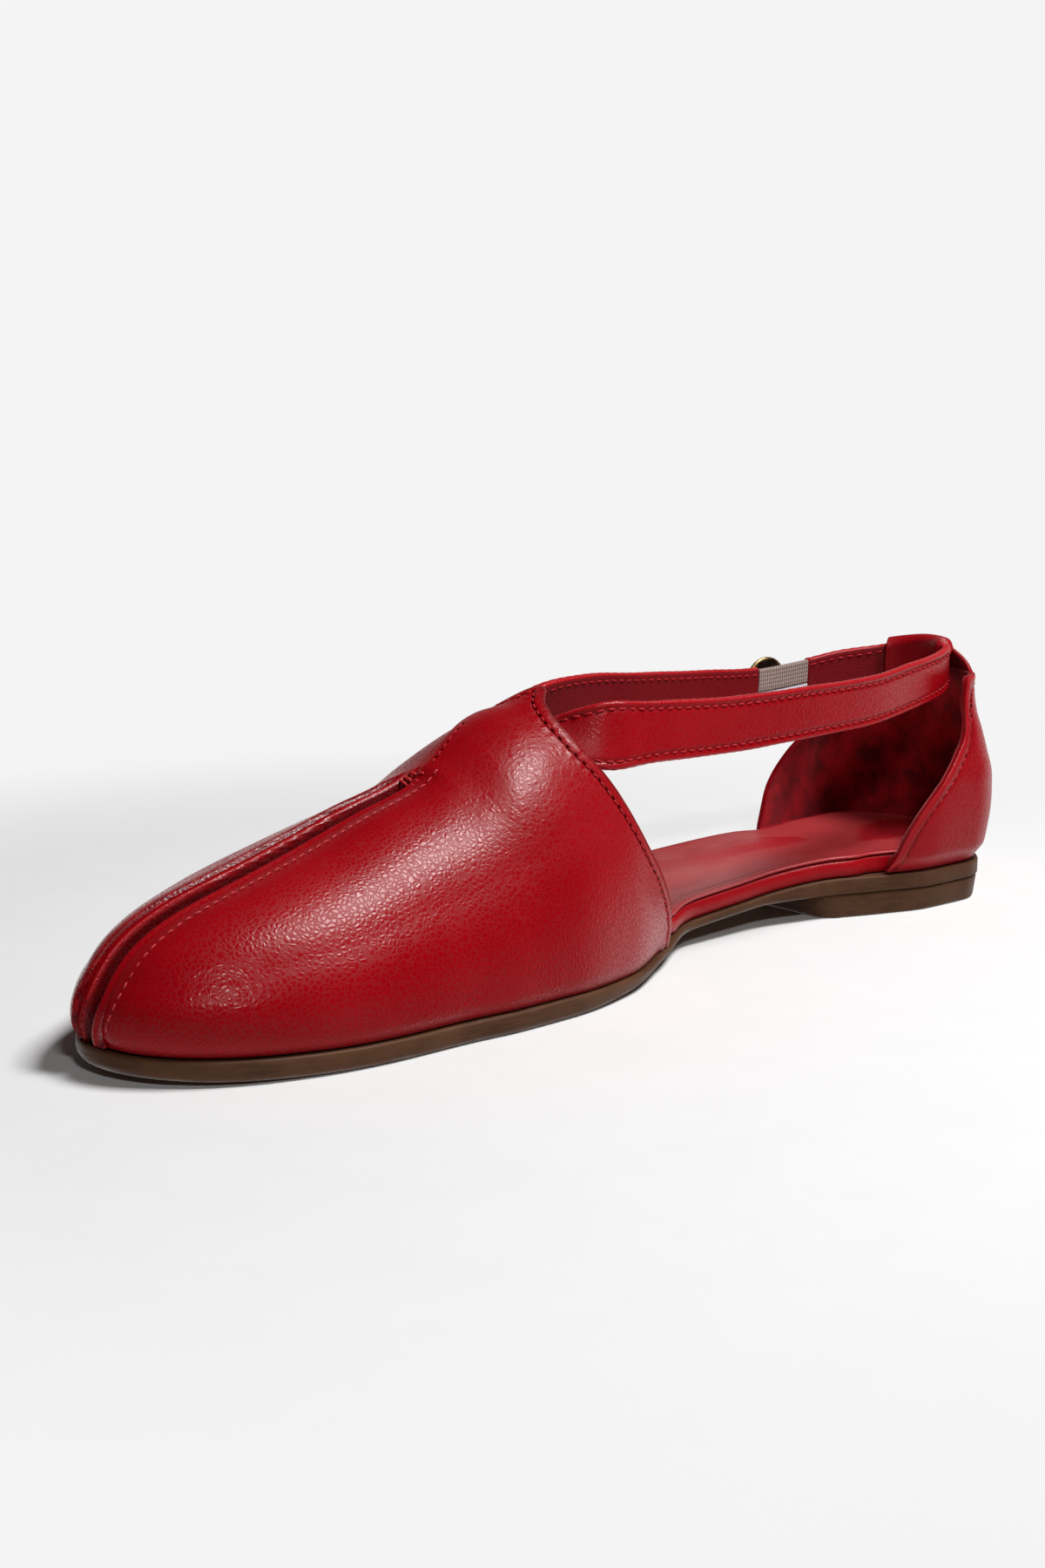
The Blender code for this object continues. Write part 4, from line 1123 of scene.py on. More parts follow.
def strap_knots():
    knots = []
    for share, wide, high, width, stand in STRAP_PATH:
        x = share * LENGTH
        y = wide * HEEL_WIDTH / 2
        z = high * STRAP_TOP
        side = 1 if y >= 0 else -1
        low = (x, y + side * stand * STRAP_WIDTH, z - width * STRAP_WIDTH)
        knots.append(((x, y, z), low))
    return knots


def tuck_pair(station, side, ups):
    pair = []
    for up in ups:
        here = surface_at(station / LENGTH, up, side)
        out = out_at_up(station, side, up)
        higher = vamp_point(x_to_turn(station), side, max(float(out) - 0.02, 0.0))
        further = vamp_point(x_to_turn(station + 0.001), side, out)
        normal = np.cross(higher - here, further - here)
        normal /= np.linalg.norm(normal)
        if normal[2] < 0:
            normal = -normal
        pair.append(tuple(here - normal * (WALL + TUCK_GAP)))
    return tuple(pair)


def smooth_path(knots, per_span):
    pairs = np.array(knots, dtype=float)
    padded = np.concatenate(([2 * pairs[0] - pairs[1]], pairs, [2 * pairs[-1] - pairs[-2]]))
    samples = []
    for k in range(1, len(padded) - 2):
        p0, p1, p2, p3 = padded[k - 1:k + 3]
        for s in range(per_span):
            t = s / per_span
            samples.append(0.5 * (2 * p1 + (p2 - p0) * t + (2 * p0 - 5 * p1 + 4 * p2 - p3) * t * t
                                  + (3 * p1 - p0 - 3 * p2 + p3) * t ** 3))
    samples.append(padded[-2])
    return np.array(samples)


def strap_path():
    mouth = LENGTH * float(TOP_LINE(TUCK_INNER[0]))
    inner = [tuck_pair(mouth + STRAP_TUCK, 1, TUCK_INNER), tuck_pair(mouth, 1, TUCK_INNER)]
    outer = [tuck_pair(mouth, -1, TUCK_OUTER), tuck_pair(mouth + STRAP_TUCK, -1, TUCK_OUTER)]
    return smooth_path(inner + strap_knots() + outer, 24)


def ribbon_frame(path):
    tops, lows = path[:, 0], path[:, 1]
    along = np.gradient((tops + lows) / 2, axis=0)
    return unit(np.cross(tops - lows, along))


def cut_path(path, start, end):
    """The outer half of the strap's path between two stations."""
    mids = path.mean(axis=1)
    turn = int(np.argmin(mids[:, 0]))
    xs = mids[turn:, 0]
    pairs = path[turn:].reshape(len(xs), 6)

    def at(x):
        return np.array([np.interp(x, xs, pairs[:, c]) for c in range(6)]).reshape(2, 3)

    inside = [p for p, x in zip(path[turn:], xs) if start + 0.0003 < x < end - 0.0003]
    return np.array([at(start)] + inside + [at(end)])


def ribbon_section(width, fold):
    """Closed outline of a folded strap: (place across, place through) with soft edges."""
    u = np.concatenate((np.linspace(-0.46, 0.46, 37), [0.485, 0.5, 0.5, 0.485],
                        np.linspace(0.46, -0.46, 19), [-0.485, -0.5, -0.5, -0.485]))
    v = np.zeros(len(u))
    v[37:41] = (0.10, 0.30, 0.70, 0.90)
    v[41:60] = 1.0
    v[60:64] = (0.90, 0.70, 0.30, 0.10)
    across = u * width
    edge = width / 2 - np.abs(across)
    outer = v < 0.05
    through = v + np.where(outer, 0.00028 * bell(edge - fold, 0.00045), 0.0)
    through = through - np.where(outer, 0.00010 * bell(edge, 0.0012), 0.0)
    return across, through, edge, outer


def add_strap(name, path, thick, cad=None, width_share=1.0, fold=STRAP_FOLD, waves=(), seed=0):
    """A strap swept along its path, with soft waves at some places of its run."""
    inward = ribbon_frame(path)
    tops, lows = path[:, 0], path[:, 1]
    up = tops - lows
    width = np.linalg.norm(up, axis=1)
    up = up / width[:, None]
    middle = (tops + lows) / 2
    run = run_along(middle)
    phase = np.random.default_rng(seed).uniform(0, 6.28, 2)
    points = []
    shade = []
    rubbed = []
    worked = []
    for k in range(len(path)):
        across, through, edge, outer = ribbon_section(width[k] * width_share, fold)
        base = np.clip(ribbon_section(width[k] * width_share, NO_FOLD)[1], 0, 1)
        relief = through - base
        wobble = (0.00004 * math.sin(run[k] * 2300 + phase[0])
                  + 0.00004 * math.sin(run[k] * 310 + phase[1]))
        jitter = np.where(np.abs(across) > 0.47 * width[k] * width_share, wobble, 0.0)
        depth = base * thick + relief
        for place, half, size in waves:
            depth = depth + np.where(outer, size * math.exp(-((run[k] - place) / half) ** 2), 0.0)
        spread = across + np.sign(across) * jitter
        points.append(middle[k] + up[k] * spread[:, None] + inward[k] * depth[:, None])
        shade.append(np.where(outer, 0.75 * bell(edge - fold, 0.0003), 0.0))
        # Lighter along the strap's edges: painted highlight on the rolled edges, partly wear.
        rubbed.append(np.where(base < 0.95, 0.5 * bell(edge, 0.0005), 0.2 * bell(edge, 0.0006)))
        worked.append(np.full(len(across), 0.85 * math.exp(-(run[k] / 0.035) ** 2)
                              + 0.50 * math.exp(-((run[-1] - run[k]) / 0.03) ** 2)))
    points = np.array(points)
    rows, cols = points.shape[:2]
    faces = closed_tube(rows, cols)
    marks = {"shade": np.array(shade), "rubbed": np.array(rubbed), "worked": np.array(worked)}
    inside = np.arange(cols)
    lining_col = (inside >= 41) & (inside < 59)
    slots = np.tile(lining_col.astype(int), rows - 1).tolist() + [0, 0]
    mesh = build_mesh(name, points, faces, marks, slots)
    add_object(name, mesh, [STRAP_RED, STRAP_LINING], cad=cad)


def strap_stitches(path, seed):
    """Stitch rows just inside the folded edges on the outer face, and on the inner face."""
    inward = ribbon_frame(path)
    tops, lows = path[:, 0], path[:, 1]
    up = unit(tops - lows)
    sets = []
    for edge, sign in ((tops, -1), (lows, 1)):
        line = edge + up * sign * STRAP_FOLD
        sets.append(thread_row(line + inward * 0.00012, -inward, *STRAP_STITCH, seed))
        back = line + inward * (STRAP_THICK + 0.00002)
        sets.append(thread_row(back, inward, *STRAP_BACK_STITCH, seed + 1))
    return sets


def build_straps():
    path = strap_path()
    mids = path.mean(axis=1)
    turn = int(np.argmin(mids[:, 0]))
    rear = turn + int(np.searchsorted(mids[turn:, 0], ELASTIC_REAR - 0.0003))
    end = cut_path(path, ELASTIC_REAR, ELASTIC_FRONT)[:1]
    main = np.concatenate((path[:rear], end))
    waves = ((0.019, 0.0022, 0.00010), (0.0235, 0.0016, -0.00010), (0.028, 0.0024, 0.00008))
    add_strap("ankle_strap_leather", main, STRAP_THICK, cad=["ankle_strap"], waves=waves, seed=2)

    front_end = float(mids[-1, 0])
    front = cut_path(path, ELASTIC_FRONT, front_end)
    tongue = cut_path(path, TONGUE_END, ELASTIC_FRONT - GAP)
    skin = (STRAP_THICK - ELASTIC_THICK) / 2
    waves = ((0.10, 0.002, 0.0002),)
    add_strap("front_strap_leather", front, STRAP_THICK, cad=["strap_front"], waves=waves, seed=4)
    add_strap("button_tongue_leather", tongue, skin, width_share=TONGUE_WIDTH / STRAP_WIDTH,
              fold=TONGUE_FOLD, seed=6)
    sets = strap_stitches(main, 11) + strap_stitches(front, 15)
    add_rows("strap_stitches", sets, THREAD)
    return path


# Elastic and button

RIB_PITCH = 0.00072
CORDS = 11


def elastic_material():
    """Woven elastic: fine cross ribs, a beige upper band and a paler lower band."""
    material, w, shader = plain_material("woven_elastic")
    ribs = w.ramp(mark(w, "rib"), 0.2, 0.8)
    band = mark(w, "band")
    # Each band is darker in the troughs between its ribs and cords: painted shade in the weave's grooves;
    # the split between the bands is painted shade too.
    upper = w.mix(ribs, (0.20, 0.135, 0.115), (0.50, 0.40, 0.35))
    lower = w.mix(ribs, (0.52, 0.47, 0.53), (0.90, 0.86, 0.93))
    tone = w.mix(band, upper, lower)
    tone = w.mix(mark(w, "shade"), tone, (0.05, 0.03, 0.03))
    w.join(tone, shader.inputs["Base Color"])
    w.join(w.ramp(mark(w, "rib"), 0.0, 1.0, 0.9, 0.7), shader.inputs["Roughness"])
    shader.inputs["Specular IOR Level"].default_value = 0.25
    return material


def build_elastic(path):
    band = cut_path(path, ELASTIC_REAR + GAP, ELASTIC_FRONT - 2 * GAP)
    run = run_along(band.mean(axis=1))
    count = 160
    stops = np.linspace(0.0, run[-1], count)
    fine = spots_on(stops, run, band.reshape(len(band), 6)).reshape(count, 2, 3)
    inward = ribbon_frame(fine)
    up = unit(fine[:, 0] - fine[:, 1])
    middle = (fine[:, 0] + fine[:, 1]) / 2
    skin = (STRAP_THICK - ELASTIC_THICK) / 2 + GAP
    u = np.concatenate((np.linspace(-0.5, 0.5, 49), np.linspace(0.5, -0.5, 49)))
    inner = np.arange(len(u)) >= 49
    points = []
    rib_mark, band_mark, shade = [], [], []
    for k in range(count):
        rib = 0.5 + 0.5 * np.sin(stops[k] * 2 * math.pi / RIB_PITCH + u * 2.0)
        cord = 0.5 + 0.5 * np.cos(u * 2 * math.pi * CORDS)
        split = bell(u + 0.03, 0.016)
        height = 0.00010 * rib + 0.00006 * cord - 0.00030 * split
        across = u * ELASTIC_WIDTH
        depth = np.where(inner, skin + ELASTIC_THICK + height, skin - height)
        depth = depth + np.where(np.abs(u) > 0.49, np.where(inner, -0.0002, 0.0002), 0.0)
        points.append(middle[k] + up[k] * across[:, None] + inward[k] * depth[:, None])
        rib_mark.append(0.65 * rib + 0.35 * cord)
        band_mark.append((u < -0.03).astype(float))
        shade.append(split)
    points = np.array(points)
    rows, cols = points.shape[:2]
    faces = closed_tube(rows, cols)
    marks = {"rib": np.array(rib_mark), "band": np.array(band_mark), "shade": np.array(shade)}
    mesh = build_mesh("elastic_band", points, faces, marks)
    add_object("elastic_band", mesh, [elastic_material()], cad=["elastic"],
               weld=False)


def metal_material(name, color, dark, rough):
    material, w, shader = plain_material(name)
    place = w.node("ShaderNodeTexCoord")
    cloud = w.noise(place.outputs["Object"], 500.0, 4.0, 0.6)
    tone = w.mix(w.ramp(cloud, 0.35, 0.7), dark, color)
    w.join(tone, shader.inputs["Base Color"])
    w.join(w.ramp(cloud, 0.3, 0.7, rough, rough + 0.15), shader.inputs["Roughness"])
    shader.inputs["Metallic"].default_value = 1.0
    bump(w, shader, cloud, 0.3, 0.00005)
    return material


def build_button(path):
    spot = cut_path(path, BUTTON_PLACE, BUTTON_PLACE + 0.004)
    middle = spot[0].mean(axis=0) + np.array((0.0, 0.0, BUTTON_RAISE))
    out = -ribbon_frame(spot)[0]
    side = np.cross(out, (0.0, 0.0, 1.0))
    side /= np.linalg.norm(side)
    up = np.cross(side, out)
    profile = (
        (0.28, 0.0002), (0.30, 0.0009), (0.60, 0.0009), (0.90, 0.0010), (0.97, 0.00115),
        (1.00, 0.0014), (1.00, 0.0017), (0.975, 0.0020), (0.93, 0.00215), (0.88, 0.0021),
        (0.85, 0.00185), (0.83, 0.0018), (0.78, 0.0020), (0.6, 0.0024), (0.4, 0.0026),
        (0.2, 0.0027), (0.0, 0.00272),
    )
    count = 64
    angles = 2 * math.pi * np.arange(count) / count
    rows = []
    for share, depth in profile:
        notch = 1 + (0.006 * np.cos(angles * 32) if 0.9 < share <= 1.0 else 0.0)
        radial = np.outer(np.cos(angles), side) + np.outer(np.sin(angles), up)
        rows.append(middle + out * depth + radial * (share * BUTTON_RADIUS * notch)[:, None]
                    if share > 0.9 else middle + out * depth + radial * share * BUTTON_RADIUS)
    points = np.array(rows)
    faces = quads(len(profile), count, wrap=True)
    band = np.repeat([1 if 0.84 < s else 0 for s, _ in profile[:-1]], count)
    mesh = build_mesh("button_disc", points, faces, None, band)
    rim = metal_material("gold_rim", (0.62, 0.40, 0.17), (0.30, 0.18, 0.07), 0.28)
    face = metal_material("bronze_face", (0.12, 0.080, 0.055), (0.05, 0.035, 0.028), 0.35)
    add_object("button_disc", mesh, [face, rim], cad=["button"])


# The heel quarter: its stitches lie this far in from its free edge

COUNTER_INSET = 0.0026


def heel_line(steps):
    """The sole's outline round the heel, its outward directions and its run from the back."""
    turns_in = float(x_to_turn(COUNTER_FRONT)) * (1 - np.arange(steps) / steps)
    turns_out = float(x_to_turn(COUNTER_FRONT_OUTER)) * np.arange(steps + 1) / steps
    ix, iy, iox, ioy = edge_point(turns_in, 1, 0.0)
    ox, oy, oox, ooy = edge_point(turns_out, -1, 0.0)
    points = np.stack((np.concatenate((ix, ox)), np.concatenate((iy, oy))), axis=1)
    outs = np.stack((np.concatenate((iox, oox)), np.concatenate((ioy, ooy))), axis=1)
    run = run_along(points)
    return points, outs, run[steps] - run


def strap_depth(point, out, path):
    """How far inside a point of the outline the strap lies, and the height of its top."""
    flat = path[:, 0, :2]
    a, b = flat[:-1], flat[1:]
    edge = b - a
    direction = -out
    cross = direction[0] * edge[:, 1] - direction[1] * edge[:, 0]
    cross = np.where(np.abs(cross) < 1e-14, 1e-14, cross)
    offset = a - point
    depth = (offset[:, 0] * edge[:, 1] - offset[:, 1] * edge[:, 0]) / cross
    share = (offset[:, 0] * direction[1] - offset[:, 1] * direction[0]) / cross
    good = (share >= 0) & (share <= 1) & (depth > 0)
    if not good.any():
        return None
    k = int(np.argmin(np.where(good, depth, 9.0)))
    top = path[k, 0, 2] + (path[k + 1, 0, 2] - path[k, 0, 2]) * share[k]
    return float(depth[k]), float(top)


def tab_column(point, out, base, station, path, behind):
    """Column of the tab: up behind the strap, over its top edge and down inside it."""
    climb, over, down = 26, 18, 14
    finish = 1 - (station - TAB_HALF) / (TAB_FOOT_HALF - TAB_HALF)
    total = climb + over + down
    if finish <= 0:
        return [base] * total
    depth, crest = strap_depth(point, out, path)
    depth_behind = strap_depth(point, out, behind)[0]
    begin = float(np.dot(base[:2] - point, out))
    fold = (depth_behind - depth) / 2 + TAB_WALL + TAB_EASE
    centre = -(depth + depth_behind) / 2
    ceiling = crest + TAB_EASE + TAB_WALL
    share = float(ease(min(finish, 1.0)))
    column = []
    for k in range(1, climb + 1):
        t = share * k / climb
        reach = begin + (centre + fold - begin) * t ** TAB_LEAN
        z = base[2] + (ceiling - fold - base[2]) * t
        column.append(np.array((*(point + out * reach), z)))
    if finish < 1:
        return column + [column[-1]] * (over + down)
    for k in range(1, over + 1):
        angle = math.pi * k / over
        reach = centre + fold * math.cos(angle)
        column.append(np.array((*(point + out * reach), ceiling - fold * (1 - math.sin(angle)))))
    low = crest - STRAP_WIDTH * 0.85
    high = ceiling - fold
    for k in range(1, down + 1):
        z = high + (low - high) * k / down
        column.append(np.array((*(point + out * (centre - fold)), z)))
    return column


def build_counter(path):
    """Grid of the quarter's outer face, one column for each place round the heel."""
    points, outs, run = heel_line(160)
    order = np.argsort(run)
    edges = np.concatenate((np.linspace(run.max(), TAB_FOOT_HALF, 46),
                            np.linspace(TAB_FOOT_HALF, TAB_HALF, 14)[1:],
                            np.linspace(TAB_HALF, -TAB_HALF, 60)[1:],
                            np.linspace(-TAB_HALF, -TAB_FOOT_HALF, 14)[1:],
                            np.linspace(-TAB_FOOT_HALF, run.min(), 46)[1:]))
    behind = path + (ribbon_frame(path) * STRAP_THICK)[:, None, :]
    rows_low = 60
    table_in = Profile([(r[1], r[0]) for r in COUNTER_EDGE])
    table_out = Profile([(r[2], r[0]) for r in COUNTER_EDGE])
    grid = []
    for station in edges:
        point = np.array([np.interp(station, run[order], points[order, c]) for c in range(2)])
        out = np.array([np.interp(station, run[order], outs[order, c]) for c in range(2)])
        out /= np.linalg.norm(out)
        floor = float(sole_top(max(point[0], 0.0))) + GAP
        if point[1] > 0:
            top_share = float(table_in(point[0] / COUNTER_FRONT))
        else:
            top_share = float(table_out(point[0] / COUNTER_FRONT_OUTER))
        top = max(COUNTER_HEIGHT * top_share, floor + 0.0012)
        z = floor + (top - floor) * np.linspace(0, 1, rows_low + 1)
        reach = WALL * BACK_LINE(z / COUNTER_HEIGHT)
        low = ease((z - floor) / 0.004)
        reach = -FEATHER_INSET + (reach + FEATHER_INSET) * low
        column = [np.array((*(point + out * r), h)) for r, h in zip(reach, z)]
        column += tab_column(point, out, column[-1], abs(station), path, behind)
        grid.append(column)
    grid = np.array(grid)
    normals = grid_normals(grid)
    mid = len(edges) // 2
    if normals[mid, 20, 0] > 0:
        normals = -normals
    bad = np.linalg.norm(np.diff(grid, axis=1), axis=2)[..., None] < 1e-7
    for c in range(1, grid.shape[1]):
        same = bad[:, c - 1, 0]
        normals[same, c] = normals[same, c - 1]
    return grid, normals, edges, rows_low


def dress_counter(path):
    """The quarter's leather, its lining and its folded tab, with stitches along both fronts."""
    grid, normals, edges, rows_low = build_counter(path)
    rows, cols = grid.shape[:2]
    gap, run = distance_to(grid, grid[:, rows_low])
    gap = gap.reshape(rows, cols)
    run = run.reshape(rows, cols)
    away = np.abs(edges)[:, None] > TAB_FOOT_HALF - 0.001
    low_part = (np.arange(cols) <= rows_low)[None, :]
    lift = 0.00018 * bell(gap - 0.0009, 0.0007) - 0.00028 * bell(gap - COUNTER_INSET, 0.00036)
    lift = np.where(away & low_part, lift, 0.0)
    foot = np.linalg.norm(grid - grid[:, :1], axis=2)
    lift = lift - 0.0005 * bell(foot, 0.0012) * low_part
    outer = grid + normals * lift[..., None]
    thick = np.where(np.arange(cols) <= rows_low, WALL, TAB_WALL)[None, :, None]
    inner = grid - normals * thick
    inner[:, 0, 2] = grid[:, 0, 2]

    total = rows * cols
    points = np.concatenate((outer.reshape(-1, 3), inner.reshape(-1, 3)))
    outer_faces = quads(rows, cols)
    inner_faces = outer_faces[:, ::-1] + total
    rim = []
    top = cols - 1
    for k in range(rows - 1):
        a, b = k * cols + top, (k + 1) * cols + top
        rim.append((a, b, b + total, a + total))
        a, b = k * cols, (k + 1) * cols
        rim.append((b, a, a + total, b + total))
    for c in range(cols - 1):
        a, b = c, c + 1
        rim.append((a, b, b + total, a + total))
        a, b = (rows - 1) * cols + c, (rows - 1) * cols + c + 1
        rim.append((b, a, a + total, b + total))
    faces = np.concatenate((outer_faces, inner_faces, np.array(rim)))
    lining = np.zeros(len(inner_faces), int)
    column = np.tile(np.arange(cols - 1), rows - 1)
    lining[column < rows_low + 22] = 1
    slots = np.concatenate((np.zeros(len(outer_faces), int), lining, np.full(len(rim), 2)))
    shade = np.where(away & low_part, 0.8 * bell(gap - COUNTER_INSET, 0.0003), 0.0)
    shade = np.maximum(shade, 0.7 * bell(foot, 0.0006))
    # Lighter along the quarter's free edge: painted highlight on its roll, partly wear.
    rubbed = np.where(away & low_part, 0.35 * bell(gap - 0.0004, 0.0005), 0.0)
    worked = 0.25 * bell(run - run.mean(), 0.02)
    marks = {
        "shade": np.concatenate((shade.ravel(), np.zeros(total))),
        "rubbed": np.concatenate((rubbed.ravel(), np.zeros(total))),
        "worked": np.concatenate((worked.ravel(), np.zeros(total))),
    }
    mesh = build_mesh("counter_leather", points, faces, marks, slots)
    add_object("counter_leather", mesh, [COUNTER_RED, LINING, FOLD_RED], cad=["counter"])

    sets = []
    holes = []
    for side in (1, -1):
        line = []
        ups = []
        for k in range(rows):
            if side * grid[k, rows_low, 1] <= 0 or abs(edges[k]) < TAB_FOOT_HALF:
                continue
            c = int(np.argmin(np.abs(gap[k, :rows_low + 1] - COUNTER_INSET)))
            if c < 3:
                continue
            line.append(outer[k, c])
            ups.append(normals[k, c])
        line = np.array(line)
        ups = np.array(ups)
        soften(line, 5, own=0)
        sets.append(thread_row(line, ups, *COUNTER_STITCH, 21))
        holes.append(hole_row(line, ups, COUNTER_STITCH[0], NEEDLE_HOLE))
    add_rows("counter_stitches", sets, THREAD)
    add_rows("counter_needle_holes", holes, HOLE_SHADE)


# The bottom

def plate_grid(count, across, inset, height):
    """Grid over the plan of the sole: stations from heel to toe, lanes from side to side."""
    turns = np.linspace(0.0, 1.0, count + 1)
    x = turn_to_x(turns)
    gap = inset(x)
    ax, ay, _, _ = edge_point(turns, 1, gap)
    bx, by, _, _ = edge_point(turns, -1, gap)
    t = (1 - np.cos(np.linspace(0, math.pi, across))) / 2
    px = ax[:, None] * (1 - t) + bx[:, None] * t
    py = ay[:, None] * (1 - t) + by[:, None] * t
    pz = height(np.clip(px, 0, LENGTH), 2 * t[None, :] - 1)
    return np.stack((px, py, pz), axis=-1)


def side_rings(count, levels):
    """Closed rings round the sole, one for each (inset, height) pair of functions."""
    rings = []
    turns = np.linspace(0.0, 1.0, count + 1)
    for inset, height in levels:
        x = turn_to_x(turns)
        ax, ay, _, _ = edge_point(turns, 1, inset(x))
        bx, by, _, _ = edge_point(turns, -1, inset(x))
        z = height(x)
        inner = np.stack((ax, ay, z), axis=1)
        outer = np.stack((bx, by, z), axis=1)
        rings.append(np.concatenate((inner, outer[1:-1][::-1])))
    return np.array(rings)


def capped_rings(name, count, levels, top, bottom, materials, slots_of, cad, marks_of=None):
    """Body of stacked rings, closed by a plate above and one below."""
    rings = side_rings(count, levels)
    n = rings.shape[1]
    points = [rings.reshape(-1, 3)]
    faces = [quads(rings.shape[0], n, wrap=True)]
    slots = [np.repeat(slots_of[:len(levels) - 1], n)]
    total = len(points[0])
    for grid, ring in ((top, len(levels) - 1), (bottom, 0)):
        if grid is None:
            continue
        points.append(grid.reshape(-1, 3))
        faces.append(quads(*grid.shape[:2]) + total)
        slots.append(np.full(len(faces[-1]), slots_of[-1] if ring else slots_of[0]))
        total += grid.shape[0] * grid.shape[1]
    points = np.concatenate(points)
    faces = np.concatenate(faces)
    slots = np.concatenate(slots)
    marks = marks_of(points) if marks_of else None
    mesh = build_mesh(name, points, faces, marks, slots)
    return add_object(name, mesh, materials, cad=cad)


def build_footbed():
    count = 120

    def low(x):
        return sole_top(x) + GAP

    def brim(x):
        return low(x) + INSOLE_THICK

    def rim(offset, rise):
        return (lambda x: board_inset(x) + offset, lambda x: brim(x) + rise)

    rand = [(lambda x: board_inset(x) + 0.0002, low)]
    for share, bulge in ((0.12, -0.0001), (0.35, -0.0004), (0.6, -0.0005), (0.8, -0.0003), (0.93, 0.0001)):
        rand.append((lambda x, b=bulge: board_inset(x) + b * (1 - covered(x)),
                     lambda x, s=share: low(x) + INSOLE_THICK * s))
    rand.append((lambda x: board_inset(x) + 0.0010, lambda x: brim(x) - 0.0001))
    rings = side_rings(count, rand)
    mesh = build_mesh("rand_band", rings, quads(rings.shape[0], rings.shape[1], wrap=True),
                      {"shade": np.repeat([0.9, 0.2, 0.0, 0.0, 0.0, 0.1, 0.8], rings.shape[1])})
    add_object("rand_band", mesh, [RAND_RED], cad=["insole"])

    def dish(x, across):
        base = brim(x) + FOOTBED_THICK
        cup = 0.0006 * np.cos(np.clip(across, -1, 1) * math.pi / 2) * (0.3 + 0.7 * ease((0.10 - x) / 0.06))
        pad = 0.0009 * bell(x - 0.060, 0.022) * bell(across - 0.2, 0.35)
        pad = pad + 0.0006 * bell(x - 0.095, 0.016) * bell(across + 0.25, 0.3)
        ripple = 0.00012 * np.sin(x * 520 + across * 3.0) * bell(across - 0.4, 0.5) * ease((x - 0.05) / 0.02)
        edge = ease((1 - np.abs(across)) / 0.06)
        return base - (cup - pad - ripple) * edge

    top = plate_grid(count, 40, lambda x: board_inset(x) + 0.0007, dish)
    levels = [
        rim(0.0006, 0.00005), rim(0.0001, 0.00012), rim(-0.0001, 0.0004), rim(0.00005, 0.0007),
        rim(0.0004, 0.00088), rim(0.0007, 0.0009),
    ]

    def marks_of(points):
        x, y, z = points[:, 0], points[:, 1], points[:, 2]
        high = z - brim(np.clip(x, 0, LENGTH))
        inside = half_width(np.clip(x, 0, LENGTH), 1) - board_inset(x) - y
        groove = bell(inside - 0.0026, 0.00030) * ease((x - 0.045) / 0.006)
        # The streaks across the top are painted sheen; the lighter rim band below is painted highlight on
        # the rim's roll, partly wear.
        sheen_streak = bell(x - 0.086 - y * 0.8, 0.014) * bell(y - 0.002, 0.012)
        sheen_streak = sheen_streak + bell(x - 0.115, 0.02) * bell(y, 0.01)
        top = high > 0.0003
        return {"shade": 0.9 * (high < 0.0003) + 0.8 * groove * top,
                "rubbed": 0.3 * ((high > 0.0004) & (high < 0.00089)) + 0.8 * np.clip(sheen_streak, 0, 1) * top,
                "worked": np.zeros(len(points))}

    capped_rings("footbed_cover", count, levels, top, None, [SOCK_RED], [0] * 7,
                 ["footbed"], marks_of)


def build_outsole():
    count = 150

    def ledge(share):
        return lambda x: sole_under(x) + sole_bevel(x) * share

    levels = [
        (sole_bevel, sole_under),
        (lambda x: 0.55 * sole_bevel(x), ledge(0.17)),
        (lambda x: 0.28 * sole_bevel(x), ledge(0.42)),
        (lambda x: 0.08 * sole_bevel(x), ledge(0.72)),
        (lambda x: 0.0 * x, ledge(1.0)),
        (lambda x: 0.0 * x, lambda x: sole_top(x) - 0.0008),
        (lambda x: 0.0 * x + 0.00005, lambda x: sole_top(x) - 0.0004),
        (lambda x: 0.0 * x + 0.00022, lambda x: sole_top(x) - 0.00012),
        (lambda x: 0.0 * x + 0.0005, sole_top),
    ]
    top = plate_grid(count, 20, lambda x: 0.0 * x + 0.0005, lambda x, a: sole_top(x) + 0 * a)
    bottom = plate_grid(count, 30, sole_bevel, lambda x, a: sole_under(x) + 0 * a)
    capped_rings("outsole_rubber", count, levels, top, bottom, [RUBBER], [0] * 10,
                 ["outsole"])


def heel_outline(count, inset, height):
    breast = HEEL_BREAST * LENGTH
    sides = []
    for side in (1, -1):
        k = np.arange(count + 1)
        x = (breast - inset) * (1 - np.cos(math.pi * k / count)) / 2
        px, py, _, _ = edge_point(x_to_turn(x), side, inset)
        start = breast - inset - HEEL_CORNER
        t = np.clip((x - start) / HEEL_CORNER, 0, 1)
        py = py - side * HEEL_CORNER * (1 - np.sqrt(1 - t * t))
        px = np.where(x > start, x, px)
        sides.append(np.stack((px, py, np.full(len(px), height)), axis=1))
    return np.concatenate((sides[0], sides[1][1:][::-1]))


def build_heel():
    count = 90
    steps = (
        (HEEL_TAPER + 0.0007, 0.0), (HEEL_TAPER + 0.0003, 0.00012), (HEEL_TAPER + 0.0001, 0.0004),
        (HEEL_TAPER, 0.0008), (HEEL_TAPER * 0.5 + GAP * 0.5, HEEL_LIFT * 0.5),
        (GAP, HEEL_LIFT - 0.0009), (GAP + 0.0001, HEEL_LIFT - 0.00045), (2 * GAP, HEEL_LIFT - 0.0002),
        (3.2 * GAP, HEEL_LIFT - 0.0001),
    )
    rings = np.array([heel_outline(count, inset, height) for inset, height in steps])
    n = rings.shape[1]
    faces = quads(len(steps), n, wrap=True).tolist()
    faces.append(list(range(n)))
    faces.append([(len(steps) - 1) * n + k for k in range(n)][::-1])
    mesh = build_mesh("heel_rubber", rings, faces)
    add_object("heel_rubber", mesh, [RUBBER], cad=["heel_block"])


